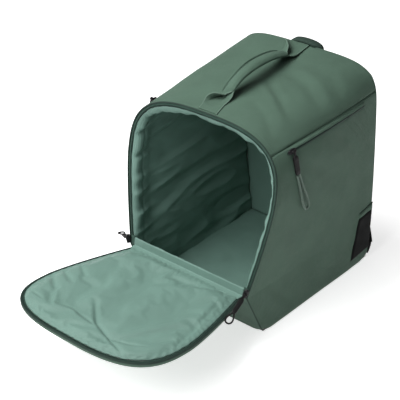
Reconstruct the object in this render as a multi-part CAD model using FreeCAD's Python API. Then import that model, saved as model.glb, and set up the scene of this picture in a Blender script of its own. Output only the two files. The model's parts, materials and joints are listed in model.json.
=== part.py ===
import FreeCAD, Part
import math
import os
from FreeCAD import Vector

# Ski boot bag with its front flap open.  Millimetres.
# X runs to the bag's right as seen from in front, the flap opens towards -Y and +Z is up.
# The origin is on the floor, in the middle of the bag's base.

# Base and back
base_half_width = 141.0
base_front_y = -149.0
back_y = 152.0
back_half_width = 152.4
back_shoulder_z = 293.0
back_top_z = 391.2
back_squareness = 4.55

# Opening: a slanted plane through the flap's hinge line
hinge_y = -183.3
hinge_z = 88.6
opening_lean = 13.77
opening_half_width = 165.0
opening_wide_at = 168.4
opening_height = 282.8
opening_squareness = 3.02
opening_taper = 1.34
body_hinge_half_width = 136.0
flap_hinge_half_width = 126.5

# Wall layers, from the outside inwards
shell_thickness = 2.5
foam_depth = 6.5
wall_thickness = 8.0
zip_band_depth = 3.0
zip_band_width = 7.0

# Flap
flap_rise = 5.09
flap_hinge_gap = 4.0
flap_face_gap = 1.0
flap_thickness = 9.0
flap_skin = 2.0
flap_zip_width = 6.0

# Seam between the top panel and the side panels, and the pocket zip below it
seam_z = 337.0
seam_slope = 0.05
pocket_zip_drop = 6.9
pocket_zip_slope = 0.032
pocket_welt_height = 4.2
pocket_skin = 0.7
pocket_tape_height = 3.5
pocket_welt_setback = 6.0
skin_gap = 0.05
pocket_zip_start_y = -92.0
pocket_zip_end_y = 112.0

# Sliders and pullers
slider_length = 16.0
slider_width = 9.0
slider_height = 4.4
pin_radius = 1.0
pin_clearance = 0.08
pin_height = 5.3
slider_corner = 1.5
ear_gap = 5.0
ear_thickness = 1.5
ear_width = 5.0
eye_radius = 2.6
eye_length = 4.2
neck_depth = 2.2
grip_from = 8.0
main_grip_size = (9.0, 4.5)
pocket_grip_size = (11.0, 5.0)
main_puller_length = 43.0
pocket_puller_length = 42.0
pocket_cord_diameter = 4.0
main_cord_diameter = 3.0

# Patch on the lower rear corner of each side, and its bound upper edge: (y, z) outlines
patch_thickness = 1.0
patch_rear_y = back_y - 1.0
patch_outline = [(96, 20), (113, 104), (patch_rear_y, 109), (patch_rear_y, 26)]
binding_outline = [(113.1, 104.3), (112, 115), (patch_rear_y, 122), (patch_rear_y, 109.3)]

# Harness on the back: centre lines and outlines are (x, z)
pad_width = 220.0
pad_height = 300.0
pad_foot = 40.0
pad_depth = 8.0
pad_corner = 25.0
strap_line = [(42, 352), (52, 310), (76, 240), (98, 180), (108, 148)]
strap_width = 54.0
strap_depth = 10.0
buckle_line = [(109.5, 142), (117, 118)]
buckle_width = 32.0
buckle_depth = 6.0
webbing_line = [(117.4, 117), (133.5, 31)]
webbing_width = 22.0
webbing_depth = 2.0
anchor_outline = [(108, 8), (141, 8), (141, 22), (146, 33), (120, 33)]

# Handle and haul loop, along the sloping top
handle_width = 26.0
handle_tab_width = 48.0
handle_tab_thickness = 2.5
handle_riser = 3.8
grip_start = 46.0
grip_end = 212.0
grip_crest = 126.0
grip_under = 24.0
grip_over = 33.0
grip_foot = 4.0
grip_thickness = 5.0
front_tab_start = 4.0
rear_tab_end = 265.0
haul_centre = -4.0
haul_half_width = 29.0
haul_width = 11.0
haul_thickness = 3.4
haul_rise = 2.6
haul_foot_drop = 7.0

FAR = 600.0
X_AXIS = Vector(1, 0, 0)
lean = math.radians(opening_lean)
rise = math.radians(flap_rise)
hinge_point = Vector(0, hinge_y, hinge_z)
opening_up = Vector(0, math.sin(lean), math.cos(lean))
opening_out = Vector(0, -math.cos(lean), math.sin(lean))
saved = {}


def save(name, shape):
    """Write one node and keep its shape for the summary."""
    shape = shape.removeSplitter() if len(shape.Solids) == 1 else shape
    if not shape.isValid() or shape.Volume <= 0:
        raise ValueError(f"{name} is not a valid solid")
    saved[name] = shape
    shape.exportStep(f"parts/{name}.step")


def save_pair(name, right_shape):
    """Write a right-hand node and its mirror image on the left."""
    save(f"right_{name}", right_shape)
    save(f"left_{name}", mirrored(right_shape))


def mirrored(shape):
    return shape.mirror(Vector(0, 0, 0), X_AXIS)


def half_outline(hinge_half, wide, wide_at, height, squareness, taper):
    """Right half of an arched outline as (half width, height) pairs, bottom to top."""
    points = []
    for step in range(9):
        v = wide_at * step / 9
        points.append((wide - (wide - hinge_half) * (1 - v / wide_at) ** taper, v))
    for step in range(11):
        angle = math.radians(90 * step / 10)
        u = wide * math.cos(angle) ** (2 / squareness)
        v = wide_at + (height - wide_at) * math.sin(angle) ** (2 / squareness)
        points.append((u, v))
    return points


def opening_half(hinge_half, inset):
    """Right half of the opening's outline in its own plane, moved inwards by the inset."""
    return half_outline(hinge_half - inset, opening_half_width - inset, opening_wide_at,
                        opening_height - inset, opening_squareness, opening_taper)


def back_half(inset):
    """Right half of the back's outline above the hinge's height."""
    side_share = hinge_z / back_shoulder_z
    low = base_half_width + (back_half_width - base_half_width) * side_share * (2 - side_share)
    return half_outline(low - inset, back_half_width - inset, back_shoulder_z - hinge_z,
                        back_top_z - hinge_z - inset, back_squareness, 2.0)


def smooth_edge(points):
    curve = Part.BSplineCurve()
    curve.interpolate(points)
    return curve.toShape()


def arch(points_right):
    """One smooth edge over the top, from the right end to its mirror image."""
    left = [Vector(-p.x, p.y, p.z) for p in reversed(points_right[:-1])]
    return smooth_edge(points_right + left)


def closed_arch(corner, points_right):
    """Closed wire: the base line, two straight lower sides and the arch above them."""
    corner_left = Vector(-corner.x, corner.y, corner.z)
    first = points_right[0]
    first_left = Vector(-first.x, first.y, first.z)
    return Part.Wire([Part.makeLine(corner, first), arch(points_right),
                      Part.makeLine(first_left, corner_left), Part.makeLine(corner_left, corner)])


def body_loft(inset):
    """Solid between the opening's outline and the back's, run on forwards past the opening."""
    front = [hinge_point + X_AXIS * u + opening_up * v
             for u, v in opening_half(body_hinge_half_width, inset)]
    back = [Vector(u, back_y, hinge_z + v) for u, v in back_half(inset)]
    corner_back = Vector(base_half_width - inset, back_y, 0)
    corner_front = Vector(base_half_width - inset, hinge_y - hinge_z * math.tan(lean), 0)
    run_on = 0.15
    front_far = [f + (f - b) * run_on for f, b in zip(front, back)]
    corner_far = corner_front + (corner_front - corner_back) * run_on
    wires = [closed_arch(corner_far, front_far), closed_arch(corner_back, back)]
    return Part.makeLoft(wires, True, True)


def prism(profile, half_width=FAR):
    """Solid of a polygon in the YZ plane, over the whole width."""
    points = [Vector(-half_width, y, z) for y, z in profile]
    face = Part.Face(Part.makePolygon(points + points[:1]))
    return face.extrude(Vector(2 * half_width, 0, 0))


def line_crossing(p, d, q, e):
    """Where two lines in the YZ plane cross, each given by a point and a direction."""
    cross = d[0] * e[1] - d[1] * e[0]
    t = ((q[0] - p[0]) * e[1] - (q[1] - p[1]) * e[0]) / cross
    return (p[0] + d[0] * t, p[1] + d[1] * t)


def lower_front_line(inset):
    """The lower front wall's line in the YZ plane, moved inwards by the inset."""
    dy = base_front_y - hinge_y
    length = math.hypot(dy, hinge_z)
    inward = (hinge_z / length, dy / length)
    return (hinge_y + inward[0] * inset, hinge_z + inward[1] * inset), (dy / length, -hinge_z / length)


def opening_line(setback):
    """The opening plane's line in the YZ plane, moved back into the bag by the setback."""
    return ((hinge_y - opening_out.y * setback, hinge_z - opening_out.z * setback),
            (opening_up.y, opening_up.z))


def side_profile(inset, setback):
    """The bag's outline from the side, with its walls moved in and its opening set back."""
    wall_point, wall_direction = lower_front_line(inset)
    open_point, open_direction = opening_line(setback)
    low = line_crossing(wall_point, wall_direction, (0, inset), (1, 0))
    high = line_crossing(open_point, open_direction, (0, FAR), (1, 0))
    corner = line_crossing(wall_point, wall_direction, open_point, open_direction)
    return [low, corner, high, (back_y - inset, FAR), (back_y - inset, inset)]


def body_solid(inset, setback):
    return body_loft(inset).common(prism(side_profile(inset, setback)))


def above_seam():
    reach = 300
    return prism([(-reach, seam_z - seam_slope * reach), (-reach, FAR), (reach, FAR),
                  (reach, seam_z + seam_slope * reach)])


def build_wall_layer(outer_inset, inner_inset, names):
    """One layer of the bag's wall, cut along the seams into its panels."""
    overshoot = 20
    layer = body_solid(outer_inset, zip_band_depth).cut(body_solid(inner_inset, -overshoot))
    back_slab = prism([(back_y - inner_inset, -1), (back_y - inner_inset, FAR), (back_y + 1, FAR),
                       (back_y + 1, -1)])
    save(names["back"], layer.common(back_slab))
    rest = layer.cut(back_slab)
    inside = prism(side_profile(inner_inset, -overshoot))
    bottom = rest.cut(inside)
    walls = rest.common(inside)
    if "floor" in names:
        save(names["floor"], bottom)
    else:
        base_slab = prism([(-FAR, outer_inset - 1), (-FAR, inner_inset), (FAR, inner_inset),
                           (FAR, outer_inset - 1)])
        save(names["base"], bottom.common(base_slab))
        save(names["lower_front"], bottom.cut(base_slab))
    top_region = above_seam()
    save(names["top"], walls.common(top_region))
    sides = walls.cut(top_region)
    right_half = Part.makeBox(FAR, 2 * FAR, FAR, Vector(0, -FAR, -1))
    save_pair(names["side"], sides.common(right_half))


def build_walls():
    build_wall_layer(0, shell_thickness, {
        "top": "top_panel", "side": "side_panel", "back": "back_panel", "base": "base_panel",
        "lower_front": "lower_front_panel"})
    build_wall_layer(shell_thickness, foam_depth, {
        "top": "top_foam", "side": "side_foam", "back": "back_foam", "base": "base_board",
        "lower_front": "lower_front_foam"})
    build_wall_layer(foam_depth, wall_thickness, {
        "top": "top_lining", "side": "side_lining", "back": "back_lining", "floor": "floor_lining"})


def plane_solid(half, depth_from, depth_to, v_from):
    """Arched plate in the XY plane: x across, y up the opening, z out of it."""
    flat = [Vector(u, v, depth_from) for u, v in half]
    bottom = Part.makeLine(Vector(-flat[0].x, flat[0].y, depth_from), flat[0])
    plate = Part.Face(Part.Wire([arch(flat), bottom])).extrude(Vector(0, 0, depth_to - depth_from))
    keep = Part.makeBox(2 * FAR, FAR, 4 * flap_thickness, Vector(-FAR, v_from, -2 * flap_thickness))
    return plate.common(keep)


def on_hinge(shape, tilt):
    """Turn a flat shape up about the X axis and move it to the hinge line."""
    placed = shape.copy()
    placed.Placement = FreeCAD.Placement(hinge_point, FreeCAD.Rotation(X_AXIS, tilt))
    return placed


def build_opening():
    """Zip tape round the opening, the piping at its edge and the strip that hinges the flap."""
    tilt = 90 - opening_lean
    outer = plane_solid(opening_half(body_hinge_half_width, 0), -zip_band_depth, 0, wall_thickness)
    inner_half = opening_half(flap_hinge_half_width, zip_band_width)
    inner = plane_solid(inner_half, -zip_band_depth - 1, 1, 0)
    piping_inset = 2.2
    tape = plane_solid(opening_half(body_hinge_half_width, piping_inset), -zip_band_depth, 0,
                       wall_thickness)
    save("opening_piping", on_hinge(outer.cut(tape), tilt))
    save("opening_zip_tape", on_hinge(tape.cut(inner), tilt))
    strip = body_solid(0, 0).cut(prism(side_profile(-5, zip_band_depth)))
    below = Part.makeBox(2 * FAR, FAR, FAR, Vector(-FAR, wall_thickness - FAR, -FAR / 2))
    save("flap_hinge_strip", strip.common(on_hinge(below, tilt)))


def build_flap():
    """The front door: a shallow tray of fabric with foam, lining, zip tape and piping."""
    tilt = 180 - flap_rise
    edge = flap_hinge_gap
    face = flap_face_gap
    outer_depth = face + flap_thickness
    tape_depth = face + 2.0

    def plate(inset, depth_from, depth_to):
        return plane_solid(opening_half(flap_hinge_half_width, inset), depth_from, depth_to,
                           edge + inset)

    skin_inner = plate(flap_skin, tape_depth - 1, outer_depth - flap_skin)
    shell = plate(0, tape_depth, outer_depth).cut(skin_inner)
    foam = plate(flap_skin, tape_depth, outer_depth - flap_skin)
    tape = plate(flap_skin, face, tape_depth).cut(plate(flap_zip_width, face - 1, tape_depth + 1))
    piping = plate(0, face, tape_depth).cut(plate(flap_skin, face - 1, tape_depth + 1))
    lining = plate(flap_zip_width, face, tape_depth)
    for name, shape in (("flap_outer_panel", shell), ("flap_foam", foam), ("flap_zip_tape", tape),
                        ("flap_piping", piping), ("flap_lining", lining)):
        save(name, on_hinge(shape, tilt))


def frame_rotation(along, up):
    """Rotation that takes X to the first direction and Z to the second."""
    return FreeCAD.Rotation(along, up.cross(along), up, "XZY")


def slider(centre, slide, top, pin):
    """A zip slider: its block, and the two ears that hold the puller's pin."""
    block = Part.makeBox(slider_length, slider_width, slider_height,
                         Vector(-slider_length / 2, -slider_width / 2, -slider_height / 2))
    block = block.makeFillet(slider_corner, [e for e in block.Edges if abs(e.tangentAt(0).z) > 0.9])
    block.Placement = FreeCAD.Placement(centre, frame_rotation(slide, top))
    ear = Part.makeBox(ear_thickness, ear_width, pin_height + ear_thickness - slider_height / 2)
    ears = []
    for offset in (-ear_gap / 2 - ear_thickness, ear_gap / 2):
        side = ear.copy()
        side.translate(Vector(offset, -ear_width / 2, slider_height / 2))
        ears.append(side)
    rod = Part.makeCylinder(pin_radius, ear_gap + 2 * ear_thickness,
                            Vector(-ear_gap / 2 - ear_thickness, 0, pin_height), X_AXIS)
    bridge = ears[0].fuse([ears[1], rod])
    bridge.Placement = FreeCAD.Placement(centre, frame_rotation(pin, top))
    return block.fuse(bridge)


def puller(pivot, pin, hang, length, width, thickness):
    """A moulded puller with an eye round the slider's pin; its far end holds the cord loop."""
    eye = Part.makeCylinder(eye_radius, eye_length, Vector(-eye_length / 2, 0, 0), X_AXIS)
    neck = Part.makeBox(eye_length, neck_depth, grip_from + 1, Vector(-eye_length / 2, -neck_depth / 2, 0))
    grip = Part.makeBox(width, thickness, length - grip_from, Vector(-width / 2, -thickness / 2, grip_from))
    grip = grip.makeFillet(thickness * 0.3, [e for e in grip.Edges if abs(e.tangentAt(0).z) > 0.9])
    bore = Part.makeCylinder(pin_radius + pin_clearance, 2 * eye_length, Vector(-eye_length, 0, 0), X_AXIS)
    shape = eye.fuse([neck, grip]).cut(bore)
    shape.Placement = FreeCAD.Placement(pivot, frame_rotation(pin, hang))
    return shape


def tube_path(points):
    """Straight runs joined by tangent arcs, as large as each pair of runs allows."""
    edges = []
    start = points[0]
    for before, corner, after in zip(points, points[1:], points[2:]):
        run_in = corner - before
        run_out = after - corner
        half_turn = run_in.getAngle(run_out) / 2
        trim = 0.45 * min(run_in.Length, run_out.Length)
        radius = trim / math.tan(half_turn)
        arc_start = corner - run_in.normalize() * trim
        arc_end = corner + run_out.normalize() * trim
        towards = (arc_start + arc_end) * 0.5 - corner
        towards.normalize()
        middle = corner + towards * (radius / math.cos(half_turn) - radius)
        edges.append(Part.makeLine(start, arc_start))
        edges.append(Part.Arc(arc_start, middle, arc_end).toShape())
        print(f"  turn {math.degrees(2 * half_turn):5.1f} deg, radius {radius:5.1f} mm")
        start = arc_end
    edges.append(Part.makeLine(start, points[-1]))
    return Part.Wire(edges)


def cord(name, points, diameter, holder):
    """A round cord along its route; its ends stop at the face of the piece that holds them."""
    path = tube_path(points)
    direction = points[1] - points[0]
    ring = Part.Wire(Part.makeCircle(diameter / 2, points[0], direction))
    shape = path.makePipeShell([ring], True, False)
    section = math.pi * diameter ** 2 / 4
    print(f"{name}: length {path.Length:.1f} mm, volume over section x length "
          f"{shape.Volume / (section * path.Length):.4f}")
    save(name, shape.cut(holder))


def loop_points(root, across, along, half_route):
    """A loop's route: down one strand, round the end and back up the other."""
    right = [root + across * p + along * q for p, q in half_route]
    left = [root - across * p + along * q for p, q in reversed(half_route)]
    return right + left


def opening_point(u, v, n):
    """A point at u across, v up and n in front of the opening plane."""
    return hinge_point + X_AXIS * u + opening_up * v + opening_out * n


# The main sliders run up the straight lower stretch of the opening's edge.
main_slide_tilt = math.radians(15.5)
main_slider_u = 136.9
main_slider_v = 11.0
main_slider_n = 6.9
main_loop_half = [(1.8, 0), (4.6, 7.5), (6.3, 15.0), (3.6, 22.0)]
pocket_slider_tilt = math.radians(22)
pocket_slider_drop = 1.5
pocket_slider_lift = 3.9
pocket_puller_splay = 0.15
pocket_cord_slant = 0.28
pocket_loop_half = [(2.6, 0), (3.2, 18), (4.8, 37), (6.4, 55), (6.3, 67), (4.2, 76)]


def build_main_slider(side, sign, hang):
    """Slider, puller and cord loop of the main zip on one side."""
    slide = X_AXIS * (sign * math.sin(main_slide_tilt)) + opening_up * math.cos(main_slide_tilt)
    pin = slide.cross(hang).normalize()
    top = (hang - slide * hang.dot(slide)).normalize()
    centre = opening_point(sign * main_slider_u, main_slider_v, main_slider_n)
    pivot = centre + top * pin_height
    save(f"{side}_main_slider", slider(centre, slide, top, pin))
    save(f"{side}_main_puller", puller(pivot, pin, hang, main_puller_length, *main_grip_size))
    root = pivot + hang * main_puller_length
    route = loop_points(root, pin.cross(hang), hang, main_loop_half)
    cord(f"{side}_main_pull_cord", route, main_cord_diameter, saved[f"{side}_main_puller"])
    print(f"  {side} main pivot {pivot}, pin {pin}, slide {slide}")


def side_surface_x(y, z):
    """How far out the bag's right side is at a given place."""
    ray = Part.makeLine(Vector(0, y, z), Vector(FAR, y, z))
    inside = ray.common(body_loft(0))
    return inside.BoundBox.XMax


def pocket_zip_height(y):
    return seam_z - pocket_zip_drop + pocket_zip_slope * y


def build_pocket():
    """Zip, welt, slider, puller and cord loop of the side pocket, on both sides."""
    start = Vector(side_surface_x(pocket_zip_start_y, pocket_zip_height(pocket_zip_start_y)),
                   pocket_zip_start_y, pocket_zip_height(pocket_zip_start_y))
    end = Vector(side_surface_x(pocket_zip_end_y, pocket_zip_height(pocket_zip_end_y)),
                 pocket_zip_end_y, pocket_zip_height(pocket_zip_end_y))
    skin = body_loft(-pocket_skin).cut(body_loft(-skin_gap))
    run = end - start

    def band(low, high, y_from, y_to):
        return prism([(y_from, pocket_zip_height(y_from) + low), (y_from, pocket_zip_height(y_from) + high),
                      (y_to, pocket_zip_height(y_to) + high), (y_to, pocket_zip_height(y_to) + low)])

    right = Part.makeBox(FAR, 2 * FAR, FAR, Vector(0, -FAR, 0))
    tape = band(-pocket_tape_height, 0, pocket_zip_start_y, pocket_zip_end_y)
    welt = band(skin_gap, pocket_welt_height, pocket_zip_start_y + pocket_welt_setback, pocket_zip_end_y)
    save_pair("pocket_zip_tape", skin.common(tape).common(right))
    save_pair("pocket_welt", skin.common(welt).common(right))
    slide = Vector(run).normalize()
    out = slide.cross(Vector(0, 0, 1)).normalize()
    down = slide.cross(out)
    top = (out * math.cos(pocket_slider_tilt) - down * math.sin(pocket_slider_tilt)).normalize()
    centre = start + slide * (slider_length / 2) + top * (pocket_slider_lift + slider_height / 2)
    centre += down * pocket_slider_drop
    pivot = centre + top * pin_height
    hang = (down + out * pocket_puller_splay).normalize()
    fall = (down + slide * pocket_cord_slant).normalize()
    print(f"  pocket slide {slide}, pivot {pivot}, hang {hang}, run {run.Length:.1f}")
    save_pair("pocket_slider", slider(centre, slide, top, slide))
    save_pair("pocket_puller", puller(pivot, slide, hang, pocket_puller_length, *pocket_grip_size))
    root = pivot + hang * pocket_puller_length
    route = loop_points(root, fall.cross(out), fall, pocket_loop_half)
    cord("right_pocket_pull_cord", route, pocket_cord_diameter, saved["right_pocket_puller"])
    save("left_pocket_pull_cord", mirrored(saved["right_pocket_pull_cord"]))


def build_rear_patches():
    """Plain patch on the lower rear corner of each side, with its bound upper edge."""
    skin = body_loft(-patch_thickness).cut(body_loft(-skin_gap))
    right = Part.makeBox(FAR, 2 * FAR, FAR, Vector(0, -FAR, 0))
    save_pair("rear_patch", skin.common(prism(patch_outline)).common(right))
    save_pair("rear_patch_binding", skin.common(prism(binding_outline)).common(right))


top_front = Vector(0, hinge_y + opening_height * math.sin(lean), hinge_z + opening_height * math.cos(lean))
top_back = Vector(0, back_y, back_top_z)
top_along = (top_back - top_front).normalize()
top_up = X_AXIS.cross(top_along)


def top_point(s, h):
    """A point s along the top's centre line and h above it."""
    return top_front + top_along * s + top_up * h


def top_strip(outline, width):
    """Solid of a closed outline of edges in the top's own plane, over a width in X."""
    face = Part.Face(Part.Wire(outline))
    face.translate(Vector(-width / 2, 0, 0))
    return face.extrude(Vector(width, 0, 0))


def top_block(s_from, s_to, h_from, h_to, width):
    corners = [top_point(s_from, h_from), top_point(s_to, h_from), top_point(s_to, h_to),
               top_point(s_from, h_to)]
    return top_strip([Part.makeLine(a, b) for a, b in zip(corners, corners[1:] + corners[:1])], width)


def arc_edge(a, b, c):
    return Part.Arc(a, b, c).toShape()


def build_handle():
    """Carry handle: an arched grip between two tabs sewn to the top, front to back."""
    top_of_foot = grip_foot + grip_thickness
    under = [top_point(grip_start, grip_foot), top_point(grip_crest, grip_under),
             top_point(grip_end, grip_foot)]
    over = [top_point(grip_end, top_of_foot), top_point(grip_crest, grip_over),
            top_point(grip_start, top_of_foot)]
    outline = [arc_edge(*under), Part.makeLine(under[-1], over[0]), arc_edge(*over),
               Part.makeLine(over[-1], under[0])]
    save("handle_grip", top_strip(outline, handle_width))
    gap = 0.2
    front_end = grip_start - gap
    rear_start = grip_end + gap
    front = top_block(front_tab_start, front_end, gap, handle_tab_thickness, handle_tab_width)
    front_riser = top_block(front_end - handle_riser, front_end, handle_tab_thickness, top_of_foot,
                            handle_width)
    rear = top_block(rear_start, rear_tab_end, gap, handle_tab_thickness, handle_tab_width)
    rear_riser = top_block(rear_start, rear_start + handle_riser, handle_tab_thickness, top_of_foot,
                           handle_width)
    save("handle_front_tab", front.fuse(front_riser))
    save("handle_rear_tab", rear.fuse(rear_riser))


def build_haul_loop():
    """Short wide loop sewn into the seam at the top of the back."""
    y = back_y + 0.3
    foot = back_top_z - haul_foot_drop
    crest = back_top_z + haul_rise

    def curve(grow):
        reach = haul_half_width + grow
        return [Vector(haul_centre - reach, y, foot), Vector(haul_centre, y, crest + grow),
                Vector(haul_centre + reach, y, foot)]

    outer = curve(haul_thickness)
    inner = curve(0)
    outline = [arc_edge(*outer), Part.makeLine(outer[-1], inner[-1]), arc_edge(*reversed(inner)),
               Part.makeLine(inner[0], outer[0])]
    save("haul_loop", Part.Face(Part.Wire(outline)).extrude(Vector(0, haul_width, 0)))


def slab_xz(points, y_from, y_to):
    """Solid of a polygon in the XZ plane between two depths behind the bag."""
    corners = [Vector(x, y_from, z) for x, z in points]
    return Part.Face(Part.makePolygon(corners + corners[:1])).extrude(Vector(0, y_to - y_from, 0))


def ribbon(centre_line, width):
    """Outline of a strap of constant width along a line of (x, z) points."""
    left, right = [], []
    for i, (x, z) in enumerate(centre_line):
        before = centre_line[max(i - 1, 0)]
        after = centre_line[min(i + 1, len(centre_line) - 1)]
        dx, dz = after[0] - before[0], after[1] - before[1]
        length = math.hypot(dx, dz)
        side = (-dz / length * width / 2, dx / length * width / 2)
        left.append((x + side[0], z + side[1]))
        right.append((x - side[0], z - side[1]))
    return left + right[::-1]


def build_harness():
    """Back pad and shoulder straps with their webbing, buckles and anchors."""
    strap_from = back_y + pad_depth + 0.4
    pad = Part.makeBox(pad_width, pad_depth, pad_height, Vector(-pad_width / 2, back_y, pad_foot))
    pad = pad.makeFillet(pad_corner, [e for e in pad.Edges if abs(e.tangentAt(0).y) > 0.9])
    save("back_pad", pad)
    strap = slab_xz(ribbon(strap_line, strap_width), strap_from, strap_from + strap_depth)
    save_pair("shoulder_strap", strap)
    buckle = slab_xz(ribbon(buckle_line, buckle_width), strap_from, strap_from + buckle_depth)
    save_pair("strap_buckle", buckle)
    anchor = slab_xz(anchor_outline, back_y + 0.2, strap_from + webbing_depth)
    webbing = slab_xz(ribbon(webbing_line, webbing_width), strap_from, strap_from + webbing_depth)
    save_pair("strap_anchor", anchor)
    save_pair("strap_webbing", webbing.cut(anchor).cut(buckle))


def main():
    os.makedirs("parts", exist_ok=True)
    build_walls()
    build_opening()
    build_flap()
    build_main_slider("right", 1, Vector(0.235, -0.947, -0.215).normalize())
    build_main_slider("left", -1, Vector(-0.80, 0.48, -0.36).normalize())
    build_pocket()
    build_rear_patches()
    build_handle()
    build_haul_loop()
    build_harness()
    for name, shape in saved.items():
        box = shape.BoundBox
        print(f"{name:26s} x {box.XMin:7.1f} {box.XMax:7.1f}  y {box.YMin:7.1f} {box.YMax:7.1f}"
              f"  z {box.ZMin:7.1f} {box.ZMax:7.1f}  {shape.Volume / 1000:8.2f} cm3  {len(shape.Solids)}")


main()
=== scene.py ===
import json
import math

import bmesh
import bpy
import numpy as np
from mathutils import Matrix, Vector, noise


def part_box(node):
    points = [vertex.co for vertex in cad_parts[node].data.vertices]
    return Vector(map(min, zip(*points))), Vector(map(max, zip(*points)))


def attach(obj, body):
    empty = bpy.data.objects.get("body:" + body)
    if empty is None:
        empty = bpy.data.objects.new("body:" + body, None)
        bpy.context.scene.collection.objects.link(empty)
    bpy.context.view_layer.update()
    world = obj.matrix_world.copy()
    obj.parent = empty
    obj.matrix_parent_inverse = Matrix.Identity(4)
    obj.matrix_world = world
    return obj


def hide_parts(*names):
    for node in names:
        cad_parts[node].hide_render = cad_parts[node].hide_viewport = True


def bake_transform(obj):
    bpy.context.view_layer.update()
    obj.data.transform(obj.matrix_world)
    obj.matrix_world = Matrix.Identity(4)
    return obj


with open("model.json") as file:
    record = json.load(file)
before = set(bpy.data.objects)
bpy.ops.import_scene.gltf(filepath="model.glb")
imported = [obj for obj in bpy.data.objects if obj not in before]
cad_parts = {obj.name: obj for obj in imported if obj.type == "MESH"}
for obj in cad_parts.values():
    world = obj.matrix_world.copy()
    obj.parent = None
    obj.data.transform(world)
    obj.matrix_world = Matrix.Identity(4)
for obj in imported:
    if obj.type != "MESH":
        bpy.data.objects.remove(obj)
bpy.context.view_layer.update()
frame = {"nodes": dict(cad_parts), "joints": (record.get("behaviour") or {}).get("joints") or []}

# ---------------------------------------------------------------- sizes, in metres
# The same driving sizes as the bag's frame: X to the bag's right, the flap opens towards -Y.
BASE_HALF = 0.141
BASE_FRONT_Y = -0.149
BACK_Y = 0.152
BACK_HALF = 0.1524
BACK_SHOULDER_Z = 0.293
BACK_TOP_Z = 0.3912
BACK_SQUARENESS = 4.55
HINGE_Y = -0.1833
HINGE_Z = 0.0886
LEAN = math.radians(13.77)
OPENING_HALF = 0.165
OPENING_WIDE_AT = 0.1684
OPENING_HEIGHT = 0.2828
OPENING_SQUARENESS = 3.02
OPENING_TAPER = 1.34
BODY_HINGE_HALF = 0.136
FLAP_HINGE_HALF = 0.1265
FLAP_RISE = math.radians(5.09)
FLAP_GAP = 0.004
SEAM_Z = 0.337
SEAM_SLOPE = 0.05
POCKET_ZIP_Z = 0.3301
POCKET_ZIP_SLOPE = 0.032
POCKET_START_Y = -0.092
POCKET_END_Y = 0.112

MM = 0.001
SIDES = (("right", 1), ("left", -1))
HINGE = Vector((0, HINGE_Y, HINGE_Z))
OPENING_UP = Vector((0, math.sin(LEAN), math.cos(LEAN)))
OPENING_OUT = Vector((0, -math.cos(LEAN), math.sin(LEAN)))
FLAP_ALONG = Vector((0, -math.cos(FLAP_RISE), math.sin(FLAP_RISE)))
FLAP_OUT = Vector((0, -math.sin(FLAP_RISE), -math.cos(FLAP_RISE)))

# Camera: its direction from the bag, how far off it is, what it looks at, and its lens in millimetres
CAMERA_AZIMUTH = math.radians(43.758)
CAMERA_ELEVATION = math.radians(30.509)
CAMERA_ROLL = math.radians(-2.932)
CAMERA_DISTANCE = 2.1138
CAMERA_AIM = Vector((-0.0320, -0.1078, 0.1814))
CAMERA_LENS = 109.83


# ---------------------------------------------------------------- outlines
def arch_half(hinge_half, wide, wide_at, height, squareness, taper, steps=160):
    """Right half of an arched outline, bottom to top: arrays of half width and height."""
    t = np.linspace(0, 1, steps)
    low_u = wide - (wide - hinge_half) * (1 - t) ** taper
    low_v = wide_at * t
    angle = np.linspace(0, math.pi / 2, steps)[1:]
    top_u = wide * np.maximum(np.cos(angle), 0) ** (2 / squareness)
    top_v = wide_at + (height - wide_at) * np.sin(angle) ** (2 / squareness)
    return np.concatenate([low_u, top_u]), np.concatenate([low_v, top_v])


def opening_half(hinge_half, inset=0.0):
    """Right half of the opening's outline, moved in by the inset."""
    return arch_half(hinge_half - inset, OPENING_HALF - inset, OPENING_WIDE_AT, OPENING_HEIGHT - inset,
                     OPENING_SQUARENESS, OPENING_TAPER)


def back_half(inset=0.0):
    """Right half of the back's outline above the hinge's height, moved in by the inset."""
    share = HINGE_Z / BACK_SHOULDER_Z
    low = BASE_HALF + (BACK_HALF - BASE_HALF) * share * (2 - share)
    return arch_half(low - inset, BACK_HALF - inset, BACK_SHOULDER_Z - HINGE_Z,
                     BACK_TOP_Z - HINGE_Z - inset, BACK_SQUARENESS, 2.0)


def plane_points(u, v, n, along, out):
    """Points at u across, v along and n out of a plane through the hinge line."""
    u, v, n = np.broadcast_arrays(np.asarray(u, float), np.asarray(v, float), np.asarray(n, float))
    return (np.array(HINGE) + u[..., None] * np.array((1.0, 0, 0)) + v[..., None] * np.array(along)
            + n[..., None] * np.array(out))


def front_contour(inset=0.0, steps=60):
    """Right half of the body's front edge: base corner, hinge corner, then round the opening."""
    u, v = opening_half(BODY_HINGE_HALF, inset)
    arch = plane_points(u, v, 0, OPENING_UP, OPENING_OUT)
    corner = np.array((BASE_HALF - inset, BASE_FRONT_Y, inset))
    share = np.linspace(0, 1, steps)[:-1, None]
    return np.concatenate([corner * (1 - share) + arch[0] * share, arch])


def back_contour(inset=0.0, steps=60):
    """Right half of the back's edge, point for point with the front contour."""
    u, v = back_half(inset)
    arch = np.stack([u, np.full(len(u), BACK_Y), HINGE_Z + v], 1)
    corner = np.array((BASE_HALF - inset, BACK_Y, inset))
    share = np.linspace(0, 1, steps)[:-1, None]
    return np.concatenate([corner * (1 - share) + arch[0] * share, arch])


def arc_lengths(points):
    """Distance from the first point to each point of a polyline."""
    return np.concatenate([[0], np.cumsum(np.linalg.norm(np.diff(points, axis=0), axis=1))])


def resample(points, count, start=0.0, end=None):
    """Points spaced evenly along a polyline, between two distances along it."""
    lengths = arc_lengths(points)
    end = lengths[-1] if end is None else end
    where = np.linspace(start, end, count)
    return np.stack([np.interp(where, lengths, points[:, k]) for k in range(3)], 1)


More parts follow.
